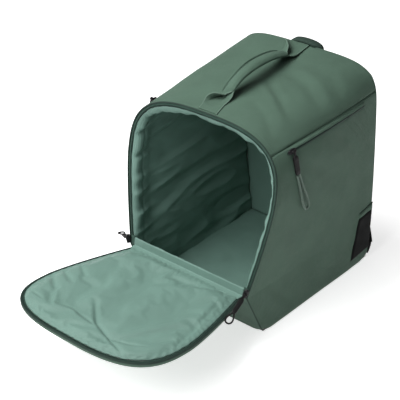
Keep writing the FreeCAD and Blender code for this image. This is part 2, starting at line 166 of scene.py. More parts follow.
def mirrored(points, sign=-1):
    """The same points on the side that the sign gives: 1 for the right, -1 for the left."""
    return points * np.array((sign, 1.0, 1.0))


def mirror(points):
    """The same points on the bag's other side, in the reverse order."""
    return mirrored(points)[::-1]


def both_sides(right_half):
    """A whole path from its right half, which ends on the bag's middle."""
    return np.concatenate([right_half, mirror(right_half)[1:]])


def smoothed(values, passes=1):
    """A row of values or points evened out, its two ends held."""
    for _ in range(passes):
        values[1:-1] = (values[:-2] + 2 * values[1:-1] + values[2:]) / 4
    return values


def seam_height(y):
    """Height of the seam between side and top."""
    return SEAM_Z + SEAM_SLOPE * y


def zip_height(y):
    """Height of the pocket's zip."""
    return POCKET_ZIP_Z + POCKET_ZIP_SLOPE * y


def seam_distance(curve, height=seam_height):
    """How far along a contour from the base it crosses a line: that of the seam below the top panel."""
    lengths = arc_lengths(curve)
    over = curve[:, 2] - height(curve[:, 1])
    first = int(np.argmax(over > 0))
    share = -over[first - 1] / (over[first] - over[first - 1])
    return lengths[first - 1] + share * (lengths[first] - lengths[first - 1])


FRONT = front_contour()
BACK = back_contour()


def body_curve(depth, inset=0.0):
    """Right half of the body's contour at a share of the depth, 0 at the opening and 1 at the back."""
    if inset:
        return front_contour(inset) * (1 - depth) + back_contour(inset) * depth
    return FRONT * (1 - depth) + BACK * depth


def side_grid(rows, columns):
    """The right side's surface: rows from base to seam, columns from front to back."""
    curves = []
    for depth in np.linspace(0, 1, columns):
        curve = body_curve(depth)
        curves.append(resample(curve, rows, 0, seam_distance(curve)))
    return np.stack(curves, 1)


def top_grid(rows, columns):
    """The top's surface: rows over the arch from the right seam to the left, columns front to back."""
    curves = []
    for depth in np.linspace(0, 1, columns):
        curve = body_curve(depth)
        curves.append(both_sides(resample(curve, rows // 2 + 1, seam_distance(curve))))
    return np.stack(curves, 1)


def coons(bottom, top, left, right):
    """Grid filled in between four edges: bottom and top run left to right, the others upwards."""
    s = np.linspace(0, 1, len(bottom))[None, :, None]
    t = np.linspace(0, 1, len(left))[:, None, None]
    across = left[:, None] * (1 - s) + right[:, None] * s
    upward = bottom[None] * (1 - t) + top[None] * t
    corners = ((1 - s) * (1 - t) * bottom[0] + s * (1 - t) * bottom[-1]
               + (1 - s) * t * top[0] + s * t * top[-1])
    return across + upward - corners


def arched_grid(half_edge, rows, columns, corner_share=0.62):
    """Flat grid that fills an arched outline, given its right half from the bottom to the top's middle."""
    edge = np.stack([half_edge[0], half_edge[1], np.zeros(len(half_edge[0]))], 1)
    corner = arc_lengths(edge)[-1] * corner_share
    right = resample(edge, rows, 0, corner)
    top_right = resample(edge, columns // 2 + 1, corner)
    top = np.concatenate([mirrored(top_right), top_right[::-1][1:]])
    left = mirrored(right)
    bottom = np.linspace(left[0], right[0], len(top))
    return coons(bottom, top, left, right)[..., :2]


# ---------------------------------------------------------------- meshes
def unit(vectors):
    """The vectors at length 1."""
    return vectors / np.maximum(np.linalg.norm(vectors, axis=-1, keepdims=True), 1e-12)


def grid_normals(grid, towards):
    """Unit normals of a grid of points, on the side of the given direction or away from a point."""
    normals = unit(np.cross(np.gradient(grid, axis=0), np.gradient(grid, axis=1)))
    if np.sum(normals * towards) < 0:
        normals = -normals
    return normals


def like(vector, points):
    """One vector, given to each of the points."""
    return np.broadcast_to(np.array(vector, float), points.shape)


def grid_faces(rows, columns, first=0, wrap=False):
    """Quads between the points of a grid, which is closed across its columns if it wraps."""
    faces = []
    for i in range(rows - 1):
        for j in range(columns if wrap else columns - 1):
            k = (j + 1) % columns
            a = first + i * columns
            faces.append((a + j, a + k, a + columns + k, a + columns + j))
    return faces


def add_object(name, data, finish):
    """A mesh or a curve as an object in the scene, with its material."""
    data.materials.append(finish)
    obj = bpy.data.objects.new(name, data)
    bpy.context.scene.collection.objects.link(obj)
    return obj


def add_mesh(name, points, faces, finish):
    """A smooth-shaded mesh of points and faces as an object in the scene."""
    mesh = bpy.data.meshes.new(name)
    mesh.from_pydata(np.asarray(points, float).reshape(-1, 3).tolist(), [], faces)
    mesh.validate()
    mesh.shade_smooth()
    return add_object(name, mesh, finish)


def fix_normals(obj):
    """All faces of a closed mesh turned outwards."""
    work = bmesh.new()
    work.from_mesh(obj.data)
    bmesh.ops.recalc_face_normals(work, faces=work.faces)
    work.to_mesh(obj.data)
    work.free()
    return obj


def sheet_mesh(name, outer, normals, thickness, finish):
    """Closed sheet of cloth: the outer grid, the same grid moved in by its thickness, and its edges."""
    rows, columns = outer.shape[:2]
    inner = outer - normals * thickness
    count = rows * columns
    faces = grid_faces(rows, columns)
    faces += [tuple(reversed(f)) for f in grid_faces(rows, columns, count)]
    ring = list(range(columns))
    ring += [i * columns + columns - 1 for i in range(1, rows)]
    ring += [(rows - 1) * columns + j for j in range(columns - 2, -1, -1)]
    ring += [i * columns for i in range(rows - 2, 0, -1)]
    for a, b in zip(ring, ring[1:] + ring[:1]):
        faces.append((b, a, a + count, b + count))
    points = np.concatenate([outer.reshape(-1, 3), inner.reshape(-1, 3)])
    return fix_normals(add_mesh(name, points, faces, finish))


def sweep_mesh(name, centre, axis_a, axis_b, profile, finish, closed_path=False):
    """Closed profile of (a, b) points carried along a path that has its own two axes at each point."""
    profile = np.asarray(profile, float)
    if profile.ndim == 2:
        profile = np.broadcast_to(profile, (len(centre),) + profile.shape)
    grid = centre[:, None] + profile[..., :1] * axis_a[:, None] + profile[..., 1:2] * axis_b[:, None]
    rows, columns = grid.shape[:2]
    faces = grid_faces(rows, columns, wrap=True)
    if closed_path:
        faces += [((rows - 1) * columns + j, (rows - 1) * columns + (j + 1) % columns,
                   (j + 1) % columns, j) for j in range(columns)]
    else:
        faces.append(tuple(range(columns))[::-1])
        faces.append(tuple((rows - 1) * columns + j for j in range(columns)))
    return fix_normals(add_mesh(name, grid, faces, finish))


def circle(radius, steps=10):
    """Circle as (a, b) points about its centre."""
    angle = np.linspace(0, 2 * math.pi, steps, endpoint=False)
    return np.stack([radius * np.cos(angle), radius * np.sin(angle)], 1)


def rounded_box(width, height, corner, steps=4):
    """Rounded rectangle as (a, b) points about its centre."""
    points = []
    for quarter, (sa, sb) in enumerate(((1, 1), (-1, 1), (-1, -1), (1, -1))):
        for k in range(steps + 1):
            angle = math.pi / 2 * (quarter + k / steps)
            points.append((sa * (width / 2 - corner) + corner * math.cos(angle),
                           sb * (height / 2 - corner) + corner * math.sin(angle)))
    return np.array(points)


def tangents(path):
    """Unit directions along a path."""
    return unit(np.gradient(path, axis=0))


BEAD_SIDES = 6
BEAD_RINGS = ((-1.0, 0.45), (-0.55, 1.0), (0.55, 1.0), (1.0, 0.45))


def beads(name, path, across, up, pitch, shape, finish):
    """A row of small rounded bumps along a path, stitches or the turns of a zip's coil.

    The pitch and each bump's length, width and height are in millimetres."""
    lengths = arc_lengths(path)
    length = lengths[-1]
    count = max(2, int(length / (pitch * MM)))
    where = (np.arange(count) + 0.5) * length / count
    pick = [np.stack([np.interp(where, lengths, field[:, k]) for k in range(3)], 1)
            for field in (path, across, up)]
    centre, side, top = pick[0], unit(pick[1]), unit(pick[2])
    along = unit(np.cross(side, top))
    long_half, side_half, high_half = (size * MM / 2 for size in shape)
    ring = BEAD_SIDES
    points, faces = [], []
    for c, a, s, t in zip(centre, along, side, top):
        first = len(points)
        for share, scale in BEAD_RINGS:
            for k in range(ring):
                angle = 2 * math.pi * k / ring
                points.append(c + a * (share * long_half) + s * (side_half * scale * math.cos(angle))
                              + t * (high_half * scale * math.sin(angle)))
        faces += [tuple(first + k for k in range(ring))[::-1],
                  tuple(first + 3 * ring + k for k in range(ring))]
        for r in range(len(BEAD_RINGS) - 1):
            for k in range(ring):
                n = (k + 1) % ring
                faces.append((first + r * ring + k, first + r * ring + n,
                              first + (r + 1) * ring + n, first + (r + 1) * ring + k))
    return fix_normals(add_mesh(name, points, faces, finish))


def noise_field(points, size, seed, stretch=(1, 1, 1)):
    """Smooth noise from -1 to 1 over points, with features of about the given size in metres."""
    scaled = points.reshape(-1, 3) / (np.array(stretch) * size) + seed * 7.31
    values = [noise.noise(Vector(p)) for p in scaled]
    return np.array(values).reshape(points.shape[:-1])


def bump_line(points, path, width, taper=0.35):
    """1 on a line of points and fading to 0 at its width, and towards the line's two ends."""
    flat = points.reshape(-1, points.shape[-1])
    path = np.asarray(path, float)
    lengths = arc_lengths(path)
    best = np.full(len(flat), 1e9)
    share = np.zeros(len(flat))
    for i in range(len(path) - 1):
        run = path[i + 1] - path[i]
        t = np.clip(((flat - path[i]) @ run) / (run @ run), 0, 1)
        distance = np.linalg.norm(flat - path[i] - t[:, None] * run, axis=1)
        nearer = distance < best
        best[nearer] = distance[nearer]
        share[nearer] = ((lengths[i] + t * (lengths[i + 1] - lengths[i])) / lengths[-1])[nearer]
    fade = np.clip(np.minimum(share, 1 - share) / taper, 0.0, 1) ** 0.5
    return (np.exp(-(best / width) ** 2) * (0.25 + 0.75 * fade)).reshape(points.shape[:-1])


def fold_relief(points, folds):
    """Heights of soft dents and ridges over points: each fold has its line, its depth and its half width."""
    return sum(depth * MM * bump_line(points, np.array(line) * MM, width * MM)
               for line, depth, width in folds)


def settled(grid, faces, held, slack, push, frames=22, limit=0.005):
    """A cloth sheet's points after it has settled with some of them held and a little cloth to spare."""
    mesh = bpy.data.meshes.new("settling_cloth")
    mesh.from_pydata(grid.reshape(-1, 3).tolist(), [], faces)
    obj = bpy.data.objects.new("settling_cloth", mesh)
    scene = bpy.context.scene
    scene.collection.objects.link(obj)
    group = obj.vertex_groups.new(name="held")
    group.add([int(i) for i in np.flatnonzero(held.reshape(-1))], 1.0, "REPLACE")
    modifier = obj.modifiers.new("cloth", "CLOTH")
    cloth = modifier.settings
    cloth.vertex_group_mass = "held"
    cloth.quality = 5
    cloth.mass = 0.25
    cloth.tension_stiffness = cloth.compression_stiffness = 12
    cloth.shear_stiffness = 4
    cloth.bending_stiffness = 1.6
    cloth.shrink_min = -slack
    cloth.use_pressure = True
    cloth.uniform_pressure_force = push
    cloth.effector_weights.gravity = 0
    modifier.point_cache.frame_start = 1
    modifier.point_cache.frame_end = frames
    for frame_number in range(1, frames + 1):
        scene.frame_set(frame_number)
    shaped = obj.evaluated_get(bpy.context.evaluated_depsgraph_get()).data
    points = np.array([tuple(v.co) for v in shaped.vertices]).reshape(grid.shape)
    bpy.data.objects.remove(obj)
    bpy.data.meshes.remove(mesh)
    scene.frame_set(1)
    move = points - grid
    far = np.linalg.norm(move, axis=-1, keepdims=True)
    return grid + move * np.minimum(1, limit / np.maximum(far, 1e-9))


# ---------------------------------------------------------------- materials
def add_node(tree, kind, inputs=None, **settings):
    """A shader node, its inputs set to values or linked from other nodes' sockets."""
    node = tree.nodes.new(kind)
    for key, value in settings.items():
        setattr(node, key, value)
    for key, value in (inputs or {}).items():
        if isinstance(value, bpy.types.NodeSocket):
            tree.links.new(value, node.inputs[key])
        else:
            node.inputs[key].default_value = value
    return node


def maths(tree, operation, a, b=0.0):
    """One step of arithmetic on values."""
    return add_node(tree, "ShaderNodeMath", {0: a, 1: b}, operation=operation).outputs[0]


def wave_along(tree, position, direction, pitch):
    """A sine wave of the given pitch along one direction of the object's own space."""
    scaled = tuple(2 * math.pi * c / pitch for c in direction)
    share = add_node(tree, "ShaderNodeVectorMath", {0: position, 1: scaled}, operation="DOT_PRODUCT")
    return maths(tree, "SINE", share.outputs["Value"])


def noise_node(tree, position, scale, detail=3.0, roughness=0.55):
    """Cloudy noise over a surface."""
    return add_node(tree, "ShaderNodeTexNoise", {"Vector": position, "Scale": scale, "Detail": detail,
                                                 "Roughness": roughness}).outputs["Fac"]


def mixed(tree, factor, a, b, blend_type="MIX"):
    """Two colours mixed by a factor."""
    node = add_node(tree, "ShaderNodeMix", data_type="RGBA", blend_type=blend_type)
    for key, value in (("Factor", factor), ("A", a), ("B", b)):
        socket = [s for s in node.inputs if s.name == key and s.enabled][0]
        if isinstance(value, bpy.types.NodeSocket):
            tree.links.new(value, socket)
        else:
            socket.default_value = value
    return [s for s in node.outputs if s.enabled][0]


def remap(tree, value, low, high, new_low=0.0, new_high=1.0):
    """A value stretched from one range to another."""
    return add_node(tree, "ShaderNodeMapRange", {"Value": value, "From Min": low, "From Max": high,
                                                 "To Min": new_low, "To Max": new_high}).outputs[0]


def shade(colour, factor):
    """A colour made lighter or darker, with its alpha."""
    return tuple(c * factor for c in colour) + (1.0,)


WEAVE_DIRECTIONS = ((1, 1, 1), (1, -1, 1), (1, 1, -1))
SATIN_DIRECTIONS = ((0.2, 1, 1), (1, 0.2, -1))


def material(name, colour, roughness, weave=0.0, directions=WEAVE_DIRECTIONS, weave_height=0.00012,
             mottle=0.10, grain=0.0, grain_scale=900.0, sheen=0.0, slub=0.0, specular=0.5):
    """Procedural finish: a woven or grained surface with soft variation in colour and gloss."""
    mat = bpy.data.materials.new(name)
    mat.use_nodes = True
    tree = mat.node_tree
    shader = tree.nodes["Principled BSDF"]
    position = add_node(tree, "ShaderNodeTexCoord").outputs["Object"]
    cloudy = noise_node(tree, position, 14.0)
    tint = mixed(tree, remap(tree, cloudy, 0.3, 0.7), shade(colour, 1 - mottle), shade(colour, 1 + mottle))
    height = None
    if weave:
        waves = [wave_along(tree, position, d, weave) for d in directions]
        height = maths(tree, "ADD", waves[0], waves[1])
        if len(waves) > 2:
            height = maths(tree, "ADD", height, waves[2])
        tint = mixed(tree, remap(tree, height, -2.0, 2.0, 0.0, 0.35), tint, shade(colour, 0.62))
    if slub:
        threads = noise_node(tree, position, 420.0, 2.0)
        tint = mixed(tree, remap(tree, threads, 0.35, 0.75, 0.0, slub), tint, shade(colour, 1.45))
    tree.links.new(tint, shader.inputs["Base Color"])
    rough = remap(tree, noise_node(tree, position, 60.0), 0.3, 0.7, roughness - 0.05, roughness + 0.05)
    tree.links.new(rough, shader.inputs["Roughness"])
    shader.inputs["Sheen Weight"].default_value = sheen
    shader.inputs["Sheen Roughness"].default_value = 0.45
    shader.inputs["Specular IOR Level"].default_value = specular
    normal = None
    if weave:
        normal = add_node(tree, "ShaderNodeBump", {"Strength": 0.55, "Distance": weave_height,
                                                   "Height": height}).outputs["Normal"]
    if grain:
        fine = noise_node(tree, position, grain_scale, 4.0, 0.6)
        inputs = {"Strength": grain, "Distance": 0.0002, "Height": fine}
        if normal is not None:
            inputs["Normal"] = normal
        normal = add_node(tree, "ShaderNodeBump", inputs).outputs["Normal"]
    if normal is not None:
        tree.links.new(normal, shader.inputs["Normal"])
    mat.diffuse_color = shade(colour, 1)
    return mat


SHELL = material("shell_fabric", (0.067, 0.116, 0.085), 0.66, weave=0.0011, sheen=0.02, grain=0.25,
                 slub=0.10, specular=0.14)
BASE = material("base_fabric", (0.05, 0.085, 0.066), 0.7, weave=0.0014, grain=0.3, slub=0.08)
# Fabric of the haul loop and its tails: the shell's green made darker, a painted shade.
LOOP_FABRIC_PAINTED_SHADE = material("dark_webbing", (0.026, 0.048, 0.037), 0.72, weave=0.0016, weave_height=0.0003,
                        grain=0.3, slub=0.12, specular=0.2)
FOAM = material("foam", (0.55, 0.56, 0.52), 0.9, grain=0.8, grain_scale=1500.0)
BOARD = material("base_board", (0.02, 0.02, 0.02), 0.6, grain=0.3)
LINING = material("lining_fabric", (0.140, 0.240, 0.202), 0.46, weave=0.0007, directions=SATIN_DIRECTIONS,
                  weave_height=0.00006, sheen=0.02, grain=0.12, mottle=0.06, specular=0.25)
ZIP_TAPE = material("zip_tape", (0.038, 0.080, 0.061), 0.7, weave=0.0009, weave_height=0.00015, grain=0.3,
                    specular=0.2)
ZIP_COIL = material("zip_coil", (0.010, 0.026, 0.020), 0.6, grain=0.3, specular=0.25)
PIPING = material("piping", (0.016, 0.036, 0.027), 0.66, weave=0.0010, weave_height=0.00015, grain=0.3,
                  specular=0.25)
# Binding along the handle's edges: a real bound edge whose lighter tone is a painted highlight on the rolled
# rim.
BINDING_PAINTED_HIGHLIGHT = material("bound_edge_painted_highlight", (0.105, 0.17, 0.13), 0.6, weave=0.0009, grain=0.3, specular=0.25)
THREAD = material("stitching", (0.075, 0.13, 0.10), 0.6, weave=0.0006, grain=0.4)
ZIP_METAL = material("zip_metal", (0.009, 0.009, 0.010), 0.36, specular=0.3, grain=0.12,
                     grain_scale=2500.0, mottle=0.25)
MOULDED = material("moulded_puller", (0.006, 0.0058, 0.006), 0.5, specular=0.2, grain=0.35,
                   grain_scale=2200.0, mottle=0.2)
GREEN_CORD = material("green_cord", (0.085, 0.140, 0.108), 0.62, weave=0.0015, weave_height=0.00035,
                      grain=0.3, sheen=0.15)
BLACK_CORD = material("black_cord", (0.008, 0.007, 0.007), 0.6, specular=0.2, weave=0.0013,
                      weave_height=0.0003, grain=0.3)
PATCH = material("patch", (0.0055, 0.006, 0.006), 0.7, specular=0.08, grain=0.5, grain_scale=1300.0,
                 mottle=0.2)
MESH = material("harness_mesh", (0.012, 0.013, 0.013), 0.85, specular=0.25, weave=0.0032, weave_height=0.0006,
                grain=0.4, sheen=0.1)
WEBBING = material("black_webbing", (0.011, 0.011, 0.012), 0.7, specular=0.25, weave=0.0022,
                   weave_height=0.0004, grain=0.3)
BUCKLE = material("buckle_plastic", (0.010, 0.010, 0.011), 0.4, specular=0.3, grain=0.25,
                  grain_scale=2000.0, mottle=0.2)


def own(obj, body, slot, *nodes):
    """The piece rides on a body and stands for the given CAD nodes, which it hides. The slot is not used."""
    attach(obj, body)
    if nodes:
        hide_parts(*nodes)
    return obj


# ---------------------------------------------------------------- camera, light and floor
def look_frame(azimuth, elevation, roll):
    """Camera axes: right, up and back, for a view from the given direction."""
    back = Vector((math.sin(azimuth) * math.cos(elevation), -math.cos(azimuth) * math.cos(elevation),
                   math.sin(elevation)))
    right = Vector((math.cos(azimuth), math.sin(azimuth), 0))
    up = back.cross(right)
    turned_right = right * math.cos(roll) + up * math.sin(roll)
    turned_up = up * math.cos(roll) - right * math.sin(roll)
    return turned_right, turned_up, back


def place(obj, origin, right, up, back):
    """Camera or light put at a point with its own three axes."""
    obj.matrix_world = Matrix((
        (right.x, up.x, back.x, origin.x), (right.y, up.y, back.y, origin.y),
        (right.z, up.z, back.z, origin.z), (0, 0, 0, 1)))


WORLD_STRENGTH = 0.16
FLOOR_GLOW = 0.66
FLOOR_RADIUS = 14
FLOOR_SIDES = 47
LIGHTS_AIM = Vector((0, 0, 0.2))
# Azimuth and elevation in degrees, distance and size in metres, and power in watts
SOFTBOXES = {
    "top_softbox": (-50, 62, 1.5, 1.0, 28.5),
    "front_softbox": (0, 40, 2.2, 1.4, 28),
}


def build_stage():
    """Camera, studio light and floor."""
    scene = bpy.context.scene
    scene.view_settings.view_transform = "Standard"
    camera_data = bpy.data.cameras.new("camera")
    camera_data.lens = CAMERA_LENS
    camera_data.sensor_width = 36
    camera_data.clip_end = 50
    camera = bpy.data.objects.new("camera", camera_data)
    scene.collection.objects.link(camera)
    right, up, back = look_frame(CAMERA_AZIMUTH, CAMERA_ELEVATION, CAMERA_ROLL)
    place(camera, CAMERA_AIM + back * CAMERA_DISTANCE, right, up, back)
    scene.camera = camera

    world = bpy.data.worlds.new("studio")
    world.use_nodes = True
    world.node_tree.nodes["Background"].inputs["Color"].default_value = (1, 1, 1, 1)
    world.node_tree.nodes["Background"].inputs["Strength"].default_value = WORLD_STRENGTH
    scene.world = world
    for name, (azimuth, elevation, distance, size, power) in SOFTBOXES.items():
        light_data = bpy.data.lights.new(name, "AREA")
        light_data.shape = "DISK"
        light_data.size = size
        light_data.energy = power
        light = bpy.data.objects.new(name, light_data)
        light.visible_camera = False
        scene.collection.objects.link(light)
        right, up, back = look_frame(math.radians(azimuth), math.radians(elevation), 0)
        place(light, LIGHTS_AIM + back * distance, right, up, back)

    floor_mat = material("floor", (0.93, 0.93, 0.93), 0.8, mottle=0.01)
    shader = floor_mat.node_tree.nodes["Principled BSDF"]
    shader.inputs["Emission Color"].default_value = (1, 1, 1, 1)
    shader.inputs["Emission Strength"].default_value = FLOOR_GLOW
    ring = np.pad(circle(FLOOR_RADIUS, FLOOR_SIDES), ((0, 0), (0, 1)))
    floor = add_mesh("floor", ring, [tuple(range(FLOOR_SIDES))], floor_mat)


build_stage()


# ---------------------------------------------------------------- outer shell
BODY_CENTRE = np.array((0, -0.01, 0.19))
SHELL_CLOTH = 1.8 * MM
BASE_CLOTH = 2.0 * MM
LINING_CLOTH = 0.9 * MM
# The rounding of the base's corners: how far up and along the edges it reaches, and how far it goes in
CORNER_RISE = 20 * MM
CORNER_REACH = 26 * MM
CORNER_IN = 4.5 * MM
CORNER_UP = 3.5 * MM
# How far up the back's outline its grid turns from side to top
BACK_CORNER_SHARE = 0.72


def edge_share(count, spacing, reach):
    """1 at both ends of a row of points and falling to 0 at the reach from them."""
    from_start = np.arange(count) * spacing
    near = np.minimum(from_start, from_start[::-1])
    return np.clip(1 - near / reach, 0, 1) ** 2


def soft_relief(grid, seed, height=1.0 * MM):
    """Broad unevenness of fabric over foam, and finer ripples in it."""
    broad = noise_field(grid, 0.085, seed, (1, 1.6, 0.8))
    middle = noise_field(grid, 0.032, seed + 3, (1.5, 1.1, 0.8))
    fine = noise_field(grid, 0.012, seed + 5)
    return height * (1.5 * broad + 0.55 * middle + 0.10 * fine)


def seam_tuck(grid, across_rows, across_columns, depth=2.2 * MM, reach=5 * MM):
    """How far a panel dips inwards towards its sewn edges."""
    rows, columns = grid.shape[:2]
    row_step = np.linalg.norm(grid[1] - grid[0], axis=1).mean()
    column_step = np.linalg.norm(grid[:, 1] - grid[:, 0], axis=1).mean()
    tuck = np.zeros((rows, columns))
    for ends, share, axis in ((across_rows, edge_share(rows, row_step, reach), 0),
                              (across_columns, edge_share(columns, column_step, reach), 1)):
        one_sided = share.copy()
        half = len(share) // 2
        if not ends[0]:
            one_sided[:half] = 0
        if not ends[1]:
            one_sided[half:] = 0
        tuck = np.maximum(tuck, one_sided[:, None] if axis == 0 else one_sided[None, :])
    return tuck * depth


def crown(rows, columns, height):
    """A swell that is flat in the middle of a grid and falls to 0 at its edges."""
    s = np.sin(np.linspace(0, math.pi, rows)) ** 0.6
    t = np.sin(np.linspace(0, math.pi, columns)) ** 0.6
    return height * s[:, None] * t[None, :]


def corner_softened(points):
    """The shell's points with the bag's four lowest corners rounded, alike in every panel there."""
    x, y, z = points[..., 0], points[..., 1], points[..., 2]
    low = np.clip(1 - z / CORNER_RISE, 0, 1) ** 2
    side = np.clip(1 - (BASE_HALF - np.abs(x)) / CORNER_REACH, 0, 1) ** 2
    front = np.clip(1 - np.abs(y - BASE_FRONT_Y) / CORNER_REACH, 0, 1) ** 2
    back = np.clip(1 - (BACK_Y - y) / CORNER_REACH, 0, 1) ** 2
    share = low * side
    either = np.maximum(front, back)
    move = np.stack([-np.sign(x) * either * CORNER_IN, (front - back) * CORNER_IN, either * CORNER_UP], -1)
    return points + share[..., None] * move


def build_side(side, sign):
    """One side's outer fabric: relief that falls off at its seams, and its folds."""
    rows, columns = 150, 130
    grid = side_grid(rows, columns)
    normals = grid_normals(grid, grid - BODY_CENTRE)
    lift = crown(rows, columns, 1.2 * MM) + soft_relief(mirrored(grid, sign), 2.0 if sign > 0 else 9.0)
    fade = 1 - seam_tuck(grid, (0, 1), (1, 1), 1.0, 22 * MM)
    lift = lift * fade - seam_tuck(grid, (0, 1), (0, 1)) + fold_relief(grid[..., 1:], SIDE_FOLDS)
    points = grid + normals * lift[..., None]
    points[..., 0] -= np.clip(1 - grid[..., 2] / (10 * MM), 0, 1) ** 2 * 2.5 * MM
    shell = sheet_mesh(f"{side}_side_shell", corner_softened(mirrored(points, sign)),
                       mirrored(normals, sign), SHELL_CLOTH, SHELL)
    own(shell, "bag", "shell_fabric", f"{side}_side_panel")


def build_top():
    """Outer fabric over the top and both shoulders."""
    rows, columns = 210, 130
    grid = top_grid(rows, columns)
    normals = grid_normals(grid, grid - BODY_CENTRE)
    lift = crown(grid.shape[0], columns, 1.5 * MM) + soft_relief(grid, 4.0, 1.1 * MM)
    lift = lift * (1 - seam_tuck(grid, (1, 1), (1, 1), 1.0, 20 * MM)) - seam_tuck(grid, (1, 1), (0, 1))
    lift += fold_relief(grid[..., :2], TOP_FOLDS)
    shell = sheet_mesh("top_shell", grid + normals * lift[..., None], normals, SHELL_CLOTH, SHELL)
    own(shell, "bag", "shell_fabric", "top_panel")


# Soft dents (negative) and ridges, in millimetres: points along each, its depth and its half width.
TOP_FOLDS = (
    (((-118, -102), (-100, -20), (-70, 66)), -1.6, 14),
    (((-75, -95), (-60, -20), (-48, 60)), 1.2, 16),
    (((16, 18), (60, -8), (105, -40)), -2.0, 9),
    (((30, 52), (80, 42), (130, 15)), -2.0, 11),
    (((45, -50), (85, -68), (125, -100)), -1.6, 10),
    (((60, 95), (100, 88), (138, 60)), -1.4, 12),
    (((25, 0), (70, -28), (120, -62)), 1.5, 9),
    (((40, 74), (90, 62), (140, 36)), 1.3, 10),
)
SIDE_FOLDS = (
    (((-60, 300), (0, 255), (50, 190)), -1.8, 13),
    (((-20, 310), (40, 270), (90, 200)), 1.4, 14),
    (((40, 310), (85, 260), (120, 180)), -1.5, 12),
    (((-120, 230), (-105, 150), (-100, 70)), 1.6, 15),
    (((-80, 200), (-60, 120), (-20, 50)), -1.5, 16),
    (((20, 150), (60, 100), (110, 60)), 1.2, 14),
    (((-130, 100), (-110, 60), (-70, 20)), -1.4, 10),
)


def back_grid(inset, rows, columns):
    """The back's surface, moved in from its edges and from the back's plane by the inset."""
    back = back_contour(inset)
    flat = arched_grid((back[:, 0], back[:, 2]), rows, columns, BACK_CORNER_SHARE)
    return np.stack([flat[..., 0], np.full(flat.shape[:2], BACK_Y - inset), flat[..., 1]], -1)


def build_back_and_base():
    """Outer fabric of the back and of the base."""
    rows, columns = 110, 101
    grid = back_grid(0.0, rows, columns)
    normals = like((0, 1, 0), grid)
    lift = -seam_tuck(grid, (1, 1), (1, 1), 2.0 * MM, 7 * MM) - 0.2 * MM + 0.2 * soft_relief(grid, 6.0)
    shell = sheet_mesh("back_shell", corner_softened(grid + normals * lift[..., None]), normals,
                       SHELL_CLOTH, SHELL)
    own(shell, "bag", "shell_fabric", "back_panel")

    x = np.linspace(-BASE_HALF + 1.5 * MM, BASE_HALF - 1.5 * MM, 60)
    y = np.linspace(BASE_FRONT_Y + 1.5 * MM, BACK_Y - 1.0 * MM, 60)
    grid = np.stack(np.meshgrid(x, y, 0.0, indexing="ij"), -1)[:, :, 0]
    normals = like((0, 0, -1), grid)
    rim = seam_tuck(grid, (1, 1), (1, 1), 1.6 * MM, 6 * MM)
    sag = 0.15 * MM * (1 + noise_field(grid, 0.05, 8.0))
    shell = sheet_mesh("base_shell", corner_softened(grid - normals * (rim + sag)[..., None]), normals,
                       BASE_CLOTH, BASE)
    own(shell, "bag", "base_fabric", "base_panel")


def build_lower_front():
    """Outer fabric of the wall below the flap."""
    rows, columns = 50, 130
    low = np.array((BASE_HALF, BASE_FRONT_Y, 0))
    high = np.array((BODY_HINGE_HALF, HINGE_Y, HINGE_Z))
    t = np.linspace(0.01, 0.985, rows)[:, None, None]
    s = np.linspace(-1, 1, columns)[None, :, None]
    edge = low * (1 - t) + high * t
    grid = np.concatenate([edge[..., :1] * s, np.broadcast_to(edge[..., 1:], (rows, columns, 2))], -1)
    normals = grid_normals(grid, np.array((0, -1.0, -0.4)))
    lift = crown(rows, columns, 2.5 * MM) + 0.8 * soft_relief(grid, 7.0)
    lift = lift * (1 - seam_tuck(grid, (1, 1), (1, 1), 1.0, 14 * MM))
    lift -= seam_tuck(grid, (0, 0), (1, 1), 1.4 * MM, 5 * MM)
    shell = sheet_mesh("lower_front_shell", corner_softened(grid + normals * lift[..., None]), normals,
                       SHELL_CLOTH, SHELL)
    own(shell, "bag", "shell_fabric", "lower_front_panel")


for side, sign in SIDES:
    build_side(side, sign)
build_top()
build_back_and_base()
build_lower_front()


# ---------------------------------------------------------------- lining of the compartment
LINING_INSET = 8.2 * MM
WALL_TOP = 14.6 * MM
FACING_DEPTH = 24 * MM
GATHER_PITCH = 16.5 * MM
# The stuffed facing's swell, by the distance from the opening: both in millimetres
FACING_SWELL = ((1.2, 0), (3, 4.6), (6, 8.2), (10, 9.6), (16, 8.4), (22, 5.6), (30, 3.0), (42, 0))


def along_row(run, size, seed):
    """Noise that varies only with the distance along a row, as a column of values."""
    return noise_field(run * (1, 0, 0), size, seed)[:, None]


